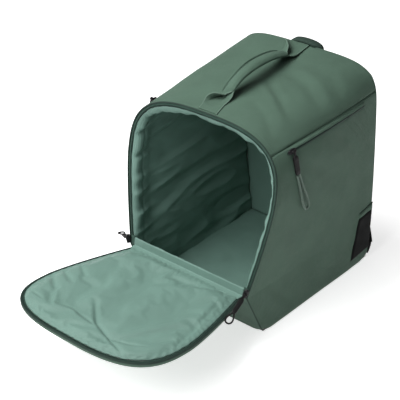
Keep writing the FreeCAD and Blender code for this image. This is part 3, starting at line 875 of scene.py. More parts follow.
def build_sleeve():
    """One lining over both sides and the top, gathered where its facing is sewn on."""
    rows, columns = 420, 118
    front = resample(front_contour(LINING_INSET), rows // 2)
    back = resample(back_contour(LINING_INSET), rows // 2)
    front = np.concatenate([front, mirror(front)])
    back = np.concatenate([back, mirror(back)])
    depth = np.concatenate([np.linspace(0.004, 0.14, 50), np.linspace(0.14, 0.972, columns - 49)[1:]])
    grid = front[:, None] * (1 - depth)[None, :, None] + back[:, None] * depth[None, :, None]
    normals = grid_normals(grid, BODY_CENTRE - grid)
    run = arc_lengths(front)[:, None]
    reach = depth[None, :] * 0.30
    sharp = np.abs(np.sin(run / GATHER_PITCH * math.pi / 2 + 2.2 * along_row(run, 0.03, 3.0)))
    gather = np.exp(-((reach - FACING_DEPTH) / 0.020) ** 2) * (1 - sharp ** 1.3) * 4.0 * MM
    overhead = np.clip((front[:, 2:] - 0.29) / 0.06, 0, 1)
    above_hinge = np.clip((front[:, 2:] - HINGE_Z - 0.004) / 0.03, 0, 1)
    swell_at, swell = np.array(FACING_SWELL).T * MM
    puff = np.interp(reach, swell_at, swell) * (0.25 + above_hinge * (0.55 + 0.45 * overhead))
    puff = puff * (1 + 0.45 * along_row(run, 0.022, 17.0))
    pinch = -np.exp(-((reach - FACING_DEPTH) / 0.0028) ** 2) * 1.0 * MM
    coords = np.stack([np.broadcast_to(run, grid.shape[:2]), np.broadcast_to(reach, grid.shape[:2]),
                       np.zeros(grid.shape[:2])], -1)
    long_folds = noise_field(coords, 0.030, 5.0, (1.0, 4.0, 1.0))
    fade = np.clip((reach - FACING_DEPTH) / 0.05, 0, 1)
    folds = fade * (1 - np.abs(long_folds) * 2.2).clip(0, 1) * 6.0 * MM
    ripple = noise_field(coords, 0.016, 11.0, (1.0, 2.2, 1.0)) * 1.2 * MM
    ends = np.clip(1 - depth, 0, 0.04)[None, :] / 0.04
    lift = puff + pinch + gather + (folds + ripple) * ends * np.clip(reach / 0.01, 0, 1)
    sleeve = sheet_mesh("compartment_lining", grid + normals * lift[..., None], normals, LINING_CLOTH,
                        LINING)
    own(sleeve, "bag", "lining_fabric", "top_lining", "right_side_lining", "left_side_lining")


def build_back_lining():
    """Plain lining of the back."""
    grid = back_grid(LINING_INSET, 110, 101)
    normals = like((0, -1, 0), grid)
    lift = crown(*grid.shape[:2], 4.0 * MM) + 1.6 * MM * noise_field(grid, 0.07, 12.0, (0.7, 1, 2.2))
    lining = sheet_mesh("back_panel_lining", grid + normals * lift[..., None], normals, LINING_CLOTH,
                        LINING)
    own(lining, "bag", "lining_fabric", "back_lining")


def build_floor_lining():
    """One piece from the lower wall's top down its inside, round the corner and over the floor."""
    inset, columns = LINING_INSET, 100
    dy, dz = HINGE_Y - BASE_FRONT_Y, HINGE_Z
    length = math.hypot(dy, dz)
    inward = np.array((dz, -dy)) / length
    foot = np.array((BASE_FRONT_Y, 0.0)) + inward * inset * 1.3 + np.array((0.0, inset))
    wall_top = np.array((HINGE_Y, HINGE_Z)) + np.array((math.sin(LEAN), math.cos(LEAN))) * WALL_TOP
    wall_end = foot + np.array((dy, dz)) / length * 10 * MM
    profile = [wall_top * (1 - t) + wall_end * t for t in np.linspace(0, 1, 18)]
    for angle in np.linspace(0.15, 0.85, 5):
        profile.append(wall_end * (1 - angle) ** 2 + foot * 2 * angle * (1 - angle)
                       + (foot + np.array((10 * MM, 0))) * angle ** 2)
    profile += [np.array((y, inset)) for y in np.linspace(foot[0] + 10 * MM, BACK_Y - inset, 50)]
    profile = np.array(profile)
    half = BASE_HALF - inset - (BASE_HALF - BODY_HINGE_HALF) * np.clip(profile[:, 1] / HINGE_Z, 0, 1) \
        * (profile[:, 0] < foot[0] + 11 * MM)
    across = half[:, None] * np.linspace(-1, 1, columns)
    grid = np.stack(np.broadcast_arrays(across, profile[:, :1], profile[:, 1:]), -1)
    normals = grid_normals(grid, np.array((0, 0.4, 1.0)))
    lift = 1.0 * MM * (1 + noise_field(grid, 0.05, 13.0)) + 0.8 * MM * noise_field(grid, 0.02, 14.0)
    lining = sheet_mesh("floor_and_front_lining", grid + normals * lift[..., None], normals, LINING_CLOTH,
                        LINING)
    own(lining, "bag", "lining_fabric", "floor_lining")


build_sleeve()
build_back_lining()
build_floor_lining()
for name, node in frame["nodes"].items():
    if "foam" in name or name == "base_board":
        node.data.materials.clear()
        node.data.materials.append(BOARD if name == "base_board" else FOAM)


# ---------------------------------------------------------------- the opening's edge
# Sections across a zip tape, in millimetres: how far in from the edge, and how far out of its plane
OPENING_TAPE = ((2.0, -2.6), (2.0, -0.9), (3.2, -0.3), (6.6, -0.2), (7.4, -0.9), (7.4, -2.6))
FLAP_TAPE = ((0.6, -0.6), (0.8, 1.0), (2.0, 1.5), (5.4, 1.2), (6.0, 0.4), (6.0, -0.6))
RIM_POINTS = 420
COIL_PITCH = 1.9


def opening_arch():
    """Path round the opening from its right hinge corner to its left one."""
    u, v = opening_half(BODY_HINGE_HALF)
    return both_sides(plane_points(u, v, 0, OPENING_UP, OPENING_OUT))


def inward_axes(path, normal):
    """Directions at right angles to an arch in its plane, on the side where its two ends are."""
    inward = unit(np.cross(like(normal, path), tangents(path)))
    middle = len(path) // 2
    return inward if inward[middle] @ (path[0] - path[middle]) > 0 else -inward


def build_opening_piping():
    """Piping round the whole front edge, thicker above the hinge."""
    contour = resample(both_sides(front_contour()), 620)
    up = like(OPENING_OUT, contour)
    side = unit(np.cross(up, tangents(contour)))
    radius = np.where(contour[:, 2] > HINGE_Z, 1.5 * MM, 1.2 * MM)
    inward = side if side[len(side) // 2, 2] < 0 else -side
    piping = sweep_mesh("opening_edge_piping", corner_softened(contour + inward * 0.9 * MM), side, up,
                        circle(1.0)[None] * radius[:, None, None], PIPING)
    own(piping, "bag", "piping", "opening_piping")


def build_opening_zip():
    """Zip tape round the opening, with its coil."""
    path = resample(opening_arch(), RIM_POINTS)
    inward = inward_axes(path, OPENING_OUT)
    path, inward = path[8:-8], inward[8:-8]
    out = like(OPENING_OUT, path)
    zip_tape = sweep_mesh("opening_zip", path, inward, out, np.array(OPENING_TAPE) * MM, ZIP_TAPE)
    own(zip_tape, "bag", "zip_tape", "opening_zip_tape")
    coil_path = path + inward * 6.3 * MM + out * 0.3 * MM
    coil = beads("opening_zip_coil", coil_path, tangents(coil_path), out, COIL_PITCH, (2.6, 1.25, 1.3),
                 ZIP_COIL)
    own(coil, "bag", "zip_tape")


def build_opening_topstitch():
    """Stitches just behind the opening's edge, from above one hinge corner to above the other."""
    curve = body_curve(0.030)
    lengths = arc_lengths(curve)
    path = both_sides(resample(curve, 400, lengths[60]))
    along = tangents(path)
    outward = unit(path - np.array((0, path[:, 1].mean(), 0.22)))
    outward = unit(outward - along * np.sum(outward * along, 1, keepdims=True))
    seam = beads("opening_topstitch", path + outward * 0.5 * MM, unit(np.cross(along, outward)), outward,
                 3.4, (2.3, 0.55, 0.5), THREAD)
    own(seam, "bag", "shell_fabric")


build_opening_piping()
build_opening_zip()
build_opening_topstitch()


# ---------------------------------------------------------------- flap
FLAP_UP = -FLAP_OUT
FLAP_CLOTH = 1.6 * MM
FLAP_LINING_INSET = 6.4 * MM
# The shell from its rim to its middle, in millimetres: how far in and how far up each ring of it lies
FLAP_RINGS = ((1.0, -3.6), (0.2, -4.6), (0.0, -6.0), (0.2, -7.6), (0.9, -9.2), (2.2, -10.6), (4.2, -11.8),
              (7, -12.9), (11, -13.9), (16, -14.7), (22, -15.4), (30, -16.0), (40, -16.4), (52, -16.7),
              (66, -16.9), (80, -17.0), (95, -17.0), (108, -17.0))


def flap_points(u, v, n):
    """Points at u across the flap, v along it from the hinge and n above its face."""
    return plane_points(u, v, n, FLAP_ALONG, FLAP_UP)


def flap_arch(inset):
    """Path round the flap from its right hinge corner to its left one."""
    u, v = opening_half(FLAP_HINGE_HALF, inset)
    keep = v >= FLAP_GAP
    return both_sides(flap_points(u[keep], v[keep], 0))


def flap_ring(inset, n, count):
    """Closed ring round the flap, moved in by the inset, its near side along the hinge."""
    u, v = opening_half(FLAP_HINGE_HALF, inset)
    near = FLAP_GAP + inset
    keep = v > near
    u = np.concatenate([[np.interp(near, v, u)], u[keep]])
    v = np.concatenate([[near], v[keep]])
    round_part = resample(both_sides(np.stack([u, v, np.zeros(len(u))], 1)), count)
    near_part = np.linspace(round_part[-1], round_part[0], count // 3)[1:-1]
    ring = np.concatenate([round_part, near_part])
    return flap_points(ring[:, 0], ring[:, 1], n)


# Soft dents (negative) and ridges of the flap's lining, in millimetres across and along the flap
FLAP_FOLDS = (
    (((-35, 180), (14, 223), (54, 238)), -3.4, 4.5),
    (((54, 238), (88, 232), (118, 222)), -2.6, 4.0),
    (((54, 236), (40, 170), (30, 90)), 2.4, 9.0),
    (((62, 238), (84, 192), (108, 140)), 1.8, 7.0),
    (((57, 240), (106, 258)), -2.0, 4.0),
    (((-150, 230), (-100, 237)), -1.8, 2.5),
    (((-160, 165), (-111, 202), (-86, 235)), -3.8, 7.0),
    (((-146, 185), (-96, 214), (-70, 240)), 2.2, 7.0),
    (((-146, 150), (-101, 171)), -2.6, 5.0),
    (((-134, 122), (-100, 141)), -2.2, 5.0),
    (((14, 231), (-50, 217), (-75, 228)), -1.8, 4.0),
    (((72, 266), (116, 260), (143, 235)), -1.6, 4.0),
    (((148, 182), (127, 90), (112, 33)), -1.6, 5.0),
    (((-6, 41), (60, 30), (107, 8)), -2.0, 7.0),
    (((-60, 60), (-40, 120), (-50, 175)), 1.8, 12.0),
    (((-110, 40), (-60, 30), (0, 22)), 1.6, 9.0),
)


def build_flap_edge():
    """The flap's piping, zip tape and coil."""
    rim = resample(flap_arch(1.3 * MM), RIM_POINTS)
    up = like(FLAP_UP, rim)
    inward = inward_axes(rim, FLAP_UP)
    rim = rim + up * (-3.0 * MM)
    piping = sweep_mesh("flap_edge_piping", rim, inward, up, circle(1.85 * MM), PIPING)
    own(piping, "flap", "piping", "flap_piping")
    zip_tape = sweep_mesh("flap_zip", rim, inward, up, np.array(FLAP_TAPE) * MM, ZIP_TAPE)
    own(zip_tape, "flap", "zip_tape", "flap_zip_tape")
    coil_path = rim + inward * 2.4 * MM + up * 1.75 * MM
    coil = beads("flap_zip_coil", coil_path, tangents(coil_path), up, COIL_PITCH, (2.6, 1.25, 1.2), ZIP_COIL)
    own(coil, "flap", "zip_tape")


def build_flap_shell():
    """The flap's outer fabric, a shallow tray: rings from its rim in to its middle, in two layers."""
    steps = 3
    fine = [(a + (b - a) * k / steps, p + (q - p) * k / steps)
            for (a, p), (b, q) in zip(FLAP_RINGS, FLAP_RINGS[1:]) for k in range(steps)]
    fine.append(FLAP_RINGS[-1])
    grid = np.stack([flap_ring(a * MM, n * MM, RIM_POINTS) for a, n in fine])
    inside = np.array([a for a, _ in fine])[:, None] * MM
    near_hinge = np.clip((grid[..., 1] - (HINGE_Y - 0.035)) / 0.03, 0, 1)
    ripple = 1.6 * MM * noise_field(grid, 0.06, 21.0) + 0.6 * MM * noise_field(grid, 0.022, 22.0)
    ripple = ripple * np.clip(inside / 0.01, 0.15, 1)
    grid[..., 2] += ripple + near_hinge * np.clip(0.55 * inside, 0, 5 * MM)
    rows, columns = grid.shape[:2]
    normals = unit(np.cross(np.gradient(grid, axis=0), np.roll(grid, -1, 1) - np.roll(grid, 1, 1)))
    if normals[-1, 0, 2] > 0:
        normals = -normals
    inner = grid - normals * FLAP_CLOTH
    second = rows * columns
    last = second - columns
    faces = grid_faces(rows, columns, wrap=True)
    faces += [tuple(reversed(f)) for f in grid_faces(rows, columns, second, wrap=True)]
    for j in range(columns):
        k = (j + 1) % columns
        faces += [(k, j, second + j, second + k), (last + j, last + k, 2 * second),
                  (second + last + k, second + last + j, 2 * second + 1)]
    centre = grid[-1].mean(0)
    points = np.concatenate([grid.reshape(-1, 3), inner.reshape(-1, 3),
                             [centre, centre + np.array((0, 0, FLAP_CLOTH))]])
    shell = fix_normals(add_mesh("flap_shell", points, faces, SHELL))
    own(shell, "flap", "shell_fabric", "flap_outer_panel")


def edge_nearness(count):
    """For each point of a row, its distance to the nearer end as a share of the row."""
    steps = np.arange(count)
    return np.minimum(steps, steps[::-1]) / (count - 1)


def build_flap_lining():
    """Padded lining: puffed, creased and puckered at its rim, then settled as cloth between its edges."""
    u, v = opening_half(FLAP_HINGE_HALF, FLAP_LINING_INSET)
    keep = v >= FLAP_GAP + 1 * MM
    flat = arched_grid((u[keep], v[keep]), 120, 131, 0.66)
    rows, columns = flat.shape[:2]
    edge = np.minimum(edge_nearness(rows)[:, None], edge_nearness(columns)[None, :])
    puff = np.sin(np.clip(edge / 0.09, 0, 1) * math.pi / 2) ** 0.8
    coords = np.pad(flat, ((0, 0), (0, 0), (0, 1)))
    lift = puff * 5.0 * MM
    lift += puff * (2.2 * MM * noise_field(coords, 0.075, 31.0) + 0.8 * MM * noise_field(coords, 0.026, 32.0))
    lift += puff ** 0.3 * fold_relief(flat, FLAP_FOLDS)
    run = np.arctan2(flat[..., 1] - 0.12, flat[..., 0])
    pucker = np.abs(np.sin(run * 34 + 2.0 * noise_field(coords, 0.05, 33.0)))
    lift += np.exp(-((edge - 0.012) / 0.016) ** 2) * (1 - pucker) * 1.4 * MM
    grid = flap_points(flat[..., 0], flat[..., 1], lift - 1.3 * MM)
    held = np.ones(edge.shape, bool)
    held[3:-3, 3:-3] = False
    grid = settled(grid, grid_faces(rows, columns), held, slack=0.013, push=0.4)
    normals = grid_normals(grid, np.array(FLAP_UP))
    lining = sheet_mesh("flap_padded_lining", grid, normals, LINING_CLOTH, LINING)
    own(lining, "flap", "lining_fabric", "flap_lining")


build_flap_edge()
build_flap_shell()
build_flap_lining()


# ---------------------------------------------------------------- fabric across the hinge
def build_hinge():
    """Outer and inner fabric that bend across the hinge line, and the patches over the zip's two ends."""
    rows, columns = 33, 90
    along = np.linspace(-1, 1, columns)
    low = HINGE
    front = Vector((0, BASE_FRONT_Y - HINGE_Y, -HINGE_Z)).normalized()
    outer = [low + front * 0.010, low + front * 0.004, low + FLAP_OUT * 0.0045,
             low + FLAP_ALONG * 0.004 + FLAP_OUT * 0.0085, low + FLAP_ALONG * 0.012 + FLAP_OUT * 0.0112]
    inner = [low + OPENING_UP * (WALL_TOP + 0.0004) - OPENING_OUT * 0.0012,
             low + OPENING_UP * WALL_TOP + OPENING_OUT * 0.0006,
             low + OPENING_UP * 0.008 + OPENING_OUT * 0.0008,
             low + OPENING_UP * 0.003 + OPENING_OUT * 0.0009, low + Vector((0, 0, 0.0016)),
             low + FLAP_ALONG * 0.005 - FLAP_OUT * 0.0012, low + FLAP_ALONG * 0.012 - FLAP_OUT * 0.0006]
    for name, line, towards, mat, slot, halves in (
            ("hinge_outer_fabric", outer, (0, -0.5, -1.0), SHELL, "shell_fabric", (125.5, 125.5)),
            ("hinge_inner_fabric", inner, (0, -0.6, 1.0), LINING, "lining_fabric", (128.5, 125.5))):
        route = smoothed(resample(np.array(line), rows), 3)
        grid = np.repeat(route[:, None], columns, 1)
        grid[..., 0] = along * np.linspace(*halves, rows)[:, None] * MM
        grid[..., 2] += 0.3 * MM * noise_field(grid, 0.03, 41.0)
        piece = sheet_mesh(name, grid, grid_normals(grid, np.array(towards)), LINING_CLOTH, mat)
        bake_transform(piece)
        if slot == "shell_fabric":
            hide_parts("flap_hinge_strip")
    for side, sign in SIDES:
        tack = np.array([low + OPENING_UP * v * MM + OPENING_OUT * 0.4 * MM for v in (0.6, 6, 12, 18)])
        tack[:, 0] = sign * np.array((130.0, 130.5, 131.0, 131.6)) * MM
        piece = sweep_mesh(f"{side}_zip_end_patch", tack, like((1, 0, 0), tack), like(OPENING_OUT, tack),
                           rounded_box(8.4 * MM, 1.2 * MM, 0.5 * MM), ZIP_TAPE)
        own(piece, "bag", "zip_tape")


build_hinge()


# ---------------------------------------------------------------- carry handle and haul loop
TOP_FRONT = np.array(tuple(HINGE + OPENING_UP * OPENING_HEIGHT))
TOP_RUN = np.array((0, BACK_Y, BACK_TOP_Z)) - TOP_FRONT
TOP_S = TOP_RUN / np.linalg.norm(TOP_RUN)
TOP_H = np.array((0, -TOP_S[2], TOP_S[1]))

# Along the top from the opening's edge, in millimetres: the height of the strap's lower layer above it,
# the strap's right edge, how far its left half has turned over and how far the grip rolls, in degrees
HANDLE_LINE = ((3, 0.6), (14, 1.0), (28, 1.6), (40, 3.4), (48, 5.5), (54, 8.5), (60, 12.8), (66, 16.6),
               (82, 22.6), (104, 25.4), (128, 25.6), (158, 22.6), (184, 16.4), (203, 9.4), (214, 5.0),
               (226, 2.4), (245, 1.2), (266, 0.8))
HANDLE_RIGHT = ((3, 19.5), (30, 13.6), (216, 13.2), (248, 9.0), (266, 7.0))
HANDLE_FOLD = ((4, 0), (17, 0.03), (27, 0.24), (36, 0.56), (43, 0.85), (49, 1), (211, 1), (226, 0.82),
               (239, 0.5), (249, 0.22), (258, 0.06), (266, 0))
HANDLE_ROLL = ((16, 0), (34, -10), (48, -18), (82, -16), (98, -10), (115, -3), (137, 0), (184, -1),
               (208, -6), (224, -4), (238, 0))
GRIP_OUTLINE = ((13.2, 2.2), (12.4, 0.6), (9.0, -0.4), (0.0, -0.9), (-9.0, -0.2), (-12.4, 0.8),
                (-13.9, 2.6), (-14.2, 5.6), (-13.6, 8.2), (-12.0, 9.4), (-10.5, 8.6), (-9.6, 5.4),
                (-8.2, 5.6), (-6.0, 8.2), (-2.0, 9.6), (3.0, 9.7), (8.0, 8.4), (11.4, 5.6), (12.9, 3.4))
GRIP_PIVOT = 13
STRAP_WIDTH = 38.0
SECTION_POINTS = 61


def along_handle(table, s):
    """A table's value at s along the handle."""
    places, values = zip(*table)
    return np.interp(s, places, values)


def strap_section(fold, right):
    """The strap across its width, right edge first: its left half turned up and over by the fold."""
    flat, arc = 26.0, 11.0
    wing = STRAP_WIDTH - flat - arc + 13 * fold
    q = np.linspace(0, flat + arc + wing, SECTION_POINTS)
    turn = math.pi * max(fold, 1e-3)
    bend = turn / arc
    a = np.clip(q - flat, 0, arc)
    x = right - np.minimum(q, flat) - np.sin(bend * a) / bend
    h = (1 - np.cos(bend * a)) / bend
    over = np.clip(q - flat - arc, 0, None)
    x -= math.cos(turn) * over
    h += math.sin(turn) * over
    return x, h


def grip_section():
    """The folded, padded grip: flat below, with a sewn ridge along its left edge."""
    outline = np.pad(np.array(GRIP_OUTLINE), ((0, 0), (0, 1)))
    return smoothed(resample(outline, SECTION_POINTS))[:, :2].T


def rolled(x, h, s):
    """Section points turned about the grip's right lower edge."""
    angle = math.radians(along_handle(HANDLE_ROLL, s))
    x = x - GRIP_PIVOT
    return (GRIP_PIVOT + x * math.cos(angle) + h * math.sin(angle),
            h * math.cos(angle) - x * math.sin(angle))


def top_place(x, s, h):
    """Points at x across, s along the top from the opening's edge and h above it, in millimetres."""
    x, s, h = np.broadcast_arrays(x, s, h)
    return (TOP_FRONT + x[..., None] * np.array((MM, 0, 0)) + s[..., None] * TOP_S * MM
            + h[..., None] * TOP_H * MM)


def handle_surface():
    """The handle's places along the top, its height at each, and its outer surface with normals."""
    s = np.concatenate([np.linspace(3, 68, 80), np.linspace(68, 200, 80)[1:], np.linspace(200, 266, 70)[1:]])
    height = smoothed(along_handle(HANDLE_LINE, s), 12)
    grip_x, grip_h = grip_section()
    points = []
    for at, low in zip(s, height):
        x, h = strap_section(along_handle(HANDLE_FOLD, at), along_handle(HANDLE_RIGHT, at))
        share = np.clip((at - 50) / 10, 0, 1) * np.clip((214 - at) / 14, 0, 1)
        share = share * share * (3 - 2 * share)
        x, h = rolled(x, h, at)
        turned_x, turned_h = rolled(grip_x, grip_h, at)
        x = x * (1 - share) + turned_x * share
        h = h * (1 - share) + turned_h * share
        points.append(top_place(x, at, np.maximum(low + h, 0.4)))
    grid = np.array(points)
    normals = unit(np.cross(np.gradient(grid, axis=0), np.gradient(grid, axis=1)))
    if normals[len(s) // 2, SECTION_POINTS // 2, 0] > 0:
        normals = -normals
    grid += normals * (0.35 * MM * noise_field(grid, 0.011, 51.0, (1, 1.6, 1)))[..., None]
    return s, height, grid, normals


def build_handle():
    """Folded strap, its bound edges in a lighter tone that is partly a painted highlight, and its rows of
    stitches.
    """
    s, height, grid, normals = handle_surface()
    handle = sheet_mesh("carry_handle", grid, normals, 1.5 * MM, SHELL)
    own(handle, "bag", "shell_fabric", "handle_grip", "handle_front_tab", "handle_rear_tab")
    for name, rows_kept in (("front", s < 58), ("rear", s > 206)):
        for edge_name, column in (("right", 0), ("left", -1)):
            out = normals[rows_kept, column]
            path = grid[rows_kept, column] - out * 0.7 * MM
            side = unit(np.cross(tangents(path), out))
            binding = sweep_mesh(f"handle_{name}_{edge_name}_binding", path, side,
                                 unit(np.cross(side, tangents(path))), circle(1.15 * MM, 8), BINDING_PAINTED_HIGHLIGHT)
            own(binding, "bag", "shell_fabric")
    grip = (s > 62) & (s < 202)
    turned = np.array([rolled(-9.0, 6.8, at) for at in s[grip]])
    ridge = top_place(turned[:, 0], s[grip], height[grip] + turned[:, 1])
    stitches = beads("handle_topstitch", ridge, like((1, 0, 0), ridge), like(TOP_H, ridge), 3.6,
                     (2.6, 0.7, 0.7), THREAD)
    own(stitches, "bag", "shell_fabric")
    for name, s_from, s_to in (("front", 5.0, 15.0), ("rear", 256.0, 264.0)):
        edge = along_handle(HANDLE_RIGHT, s_from) - 2.5
        loop = [(edge, s_from), (edge, s_to), (-9, s_to), (-9, s_from), (edge, s_from)]
        path = []
        for (x0, s0), (x1, s1) in zip(loop, loop[1:]):
            t = np.linspace(0, 1, 30)[:-1]
            path.append(top_place(x0 + (x1 - x0) * t, s0 + (s1 - s0) * t, np.full(29, 2.3)))
        path = np.concatenate(path)
        tack = beads(f"handle_{name}_stitching", path, unit(np.cross(tangents(path), TOP_H)),
                     like(TOP_H, path), 3.0, (2.2, 0.6, 0.6), THREAD)
        own(tack, "bag", "shell_fabric")


HAUL_STEPS = 90
HAUL_FORWARD = 6.5
TAIL_TOP = 368


def build_haul_loop():
    """Folded strap in an arch, wider towards the front at its crest, and its two sewn-on tails."""
    low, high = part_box("haul_loop")
    width = high.y - low.y - 1.0 * MM
    centre_x, centre_y = (high.x + low.x) / 2, (high.y + low.y) / 2
    angle = np.linspace(0, math.pi, HAUL_STEPS)
    reach = high.x - centre_x - 2.0 * MM
    crest = high.z - 2.2 * MM
    foot = low.z + 0.5 * MM
    x = centre_x + reach * np.cos(angle)
    z = foot + (crest - foot) * np.sin(angle) ** 0.75
    path = np.stack([x, np.full(HAUL_STEPS, centre_y), z], 1)
    side = like((0, 1, 0), path)
    up = unit(np.cross(tangents(path), side))
    half = width / 2 / MM
    right = [(1, 1.2), (half - 3.0, 1.5), (half - 1.2, 2.0), (half, 1.3), (half, -2.2), (half - 1.2, -3.2)]
    left = [(-a, b) for a, b in reversed(right)]
    section = np.array(left[1:] + right + left[:1])
    sections = np.repeat(section[None], HAUL_STEPS, 0)
    widening = HAUL_FORWARD * np.clip(np.sin(angle) * 2.0 - 0.4, 0, 1)
    sections[:, section[:, 0] < 0, 0] -= widening[:, None]
    # The loop and its tails below take the shell's green made darker: painted shade.
    loop = sweep_mesh("haul_loop_strap", path, side, up, sections * MM, LOOP_FABRIC_PAINTED_SHADE)
    own(loop, "bag", "dark_webbing", "haul_loop")
    for name, sign in SIDES:
        x_foot = centre_x + sign * (reach - 0.5 * MM)
        t = np.linspace(0, 1, 16)
        z_path = (TAIL_TOP + (foot / MM + 2 - TAIL_TOP) * t) * MM
        y_path = BACK_Y + 1.3 * MM + 0.6 * MM * np.sin(t * math.pi)
        tail_path = np.stack([np.full(16, x_foot), y_path, z_path], 1)
        tail = sweep_mesh(f"haul_loop_{name}_tail", tail_path, like((1, 0, 0), tail_path),
                          like((0, 1, 0), tail_path), rounded_box(20 * MM, 1.8 * MM, 0.8 * MM), LOOP_FABRIC_PAINTED_SHADE)
        own(tail, "bag", "dark_webbing")


build_handle()
build_haul_loop()


# ---------------------------------------------------------------- side pocket
def side_path(height, below, depth_from, depth_to, count):
    """Path on the right side at a distance below a line, from one share of the depth to another."""
    points, ups = [], []
    for depth in np.linspace(depth_from, depth_to, count):
        curve = body_curve(depth)
        lengths = arc_lengths(curve)
        at = seam_distance(curve, height) - below
        both = [np.array([np.interp(at + step, lengths, curve[:, k]) for k in range(3)])
                for step in (0, 2 * MM)]
        points.append(both[0])
        ups.append(both[1] - both[0])
    path, up = np.array(points), unit(np.array(ups))
    out = unit(np.cross(tangents(path), up))
    if out[count // 2, 0] < 0:
        out = -out
    return path, up, out


def depth_at(y, z=0.325):
    """Share of the depth at which the side at that height is at y."""
    front_y = HINGE_Y + (z - HINGE_Z) * math.tan(LEAN)
    return (y - front_y) / (BACK_Y - front_y)


def build_pocket(side, sign):
    """One pocket's zip tape, coil and welt, and the stitches below it and along the seam."""
    start, end = depth_at(POCKET_START_Y), depth_at(POCKET_END_Y)
    path, up, out = (mirrored(p, sign) for p in side_path(zip_height, 0, start, end, 130))
    tape = np.array([(-3.8, 0.2), (-3.8, 0.9), (-2.6, 1.2), (0.4, 1.2), (0.4, 0.2)]) * MM
    zip_tape = sweep_mesh(f"{side}_pocket_zip", path, up, out, tape, ZIP_COIL)
    own(zip_tape, "bag", "zip_tape", f"{side}_pocket_zip_tape")
    coil_path = path - up * 1.4 * MM + out * 1.25 * MM
    coil = beads(f"{side}_pocket_coil", coil_path, up, out, 1.7, (1.1, 2.6, 1.0), ZIP_COIL)
    own(coil, "bag", "zip_tape")
    lip = np.array([(0.0, 0.3), (-0.3, 1.2), (0.0, 2.1), (0.7, 2.6), (1.8, 2.5), (3.0, 1.9), (4.2, 1.1),
                    (4.8, 0.4), (4.8, 0.0)]) * MM
    t = np.linspace(0, 1, 124)
    swell = np.clip(np.minimum(t, 1 - t) / 0.03, 0.15, 1) ** 0.5
    profile = lip[None] * np.stack([np.ones(124), swell], 1)[:, None, :]
    profile[..., 1] += 0.25 * MM * np.sin(t * 40)[:, None] * (lip[:, 1] > 1 * MM)[None]
    welt = sweep_mesh(f"{side}_pocket_flap", path[6:], up[6:], out[6:], profile, SHELL)
    own(welt, "bag", "shell_fabric", f"{side}_pocket_welt")
    for name, height, below, reach in (("lower", zip_height, 6.5 * MM, (start, end)),
                                       ("seam", seam_height, 3.0 * MM, (0.03, 0.985))):
        line, line_up, line_out = (mirrored(p, sign) for p in side_path(height, below, *reach, 150))
        stitches = beads(f"{side}_{name}_topstitch", line + line_out * 0.4 * MM, line_up, line_out,
                         3.4, (2.4, 0.55, 0.5), THREAD)
        own(stitches, "bag", "shell_fabric")


for side, sign in SIDES:
    build_pocket(side, sign)


# ---------------------------------------------------------------- sliders, pullers and their cords
JOINTS = {joint["name"]: joint for joint in frame["joints"]}
PIN_HEIGHT = 5.3 * MM
MAIN_PULLER_LENGTH = 43 * MM
POCKET_PULLER_LENGTH = 42 * MM
POCKET_TILT = math.radians(22)
POCKET_SPLAY = 0.15
POCKET_SLANT = 0.28
MAIN_LOOP = ((1.8, 0), (4.6, 7.5), (6.3, 15.0), (3.6, 22.0))
POCKET_LOOP = ((2.6, 0), (3.2, 18), (4.8, 37), (6.4, 55), (6.3, 67), (4.2, 76))
MAIN_HANGS = {"right": (0.235, -0.947, -0.215), "left": (-0.80, 0.48, -0.36)}


def stack_mesh(name, origin, a, b, up, outline, levels, material):
    """Outline of (a, b) points carried up through levels of (height, scale)."""
    heights, scales = np.array(levels).T
    profile = np.asarray(outline) * scales[:, None, None]
    centres = origin + up * heights[:, None] * MM
    return sweep_mesh(name, centres, like(a, centres), like(b, centres), profile * MM, material)


def joined(name, *parts):
    """One object out of several, which go."""
    work = bmesh.new()
    for part in parts:
        work.from_mesh(part.data)
    mesh = bpy.data.meshes.new(name)
    work.to_mesh(mesh)
    work.free()
    mesh.materials.append(parts[0].data.materials[0])
    for part in parts:
        bpy.data.objects.remove(part)
    obj = bpy.data.objects.new(name, mesh)
    bpy.context.scene.collection.objects.link(obj)
    return obj


def build_slider(name, centre, slide, top, pin):
    """Slider body with the bridge that its puller hangs on."""
    across = np.cross(top, slide)
    outline = [(8.0, 1.6), (7.4, 2.9), (4.5, 4.1), (1.5, 4.5), (-3.5, 3.6), (-7.2, 3.1), (-8.0, 2.2)]
    outline += [(a, -b) for a, b in reversed(outline)]
    levels = ((-2.2, 0.9), (-2.0, 0.97), (-1.1, 1.0), (-0.75, 0.97), (-0.7, 0.5), (0.7, 0.5),
              (0.75, 0.97), (1.1, 1.0), (1.8, 0.97), (2.2, 0.88))
    body = stack_mesh(name, centre, slide, across, top, outline, levels, ZIP_METAL)
    arch = np.array([(-3.5, 1.6), (-3.5, 3.4), (-3.2, 4.7), (-2.3, 5.25), (0, 5.3), (2.3, 5.25), (3.2, 4.7),
                     (3.5, 3.4), (3.5, 1.6)]) * MM
    path = centre + arch[:, :1] * pin + arch[:, 1:] * top
    side = like(np.cross(pin, top), path)
    bridge = sweep_mesh("bridge", path, side, unit(np.cross(side, tangents(path))), circle(0.92 * MM, 10),
                        ZIP_METAL)
    return joined(name, body, bridge)


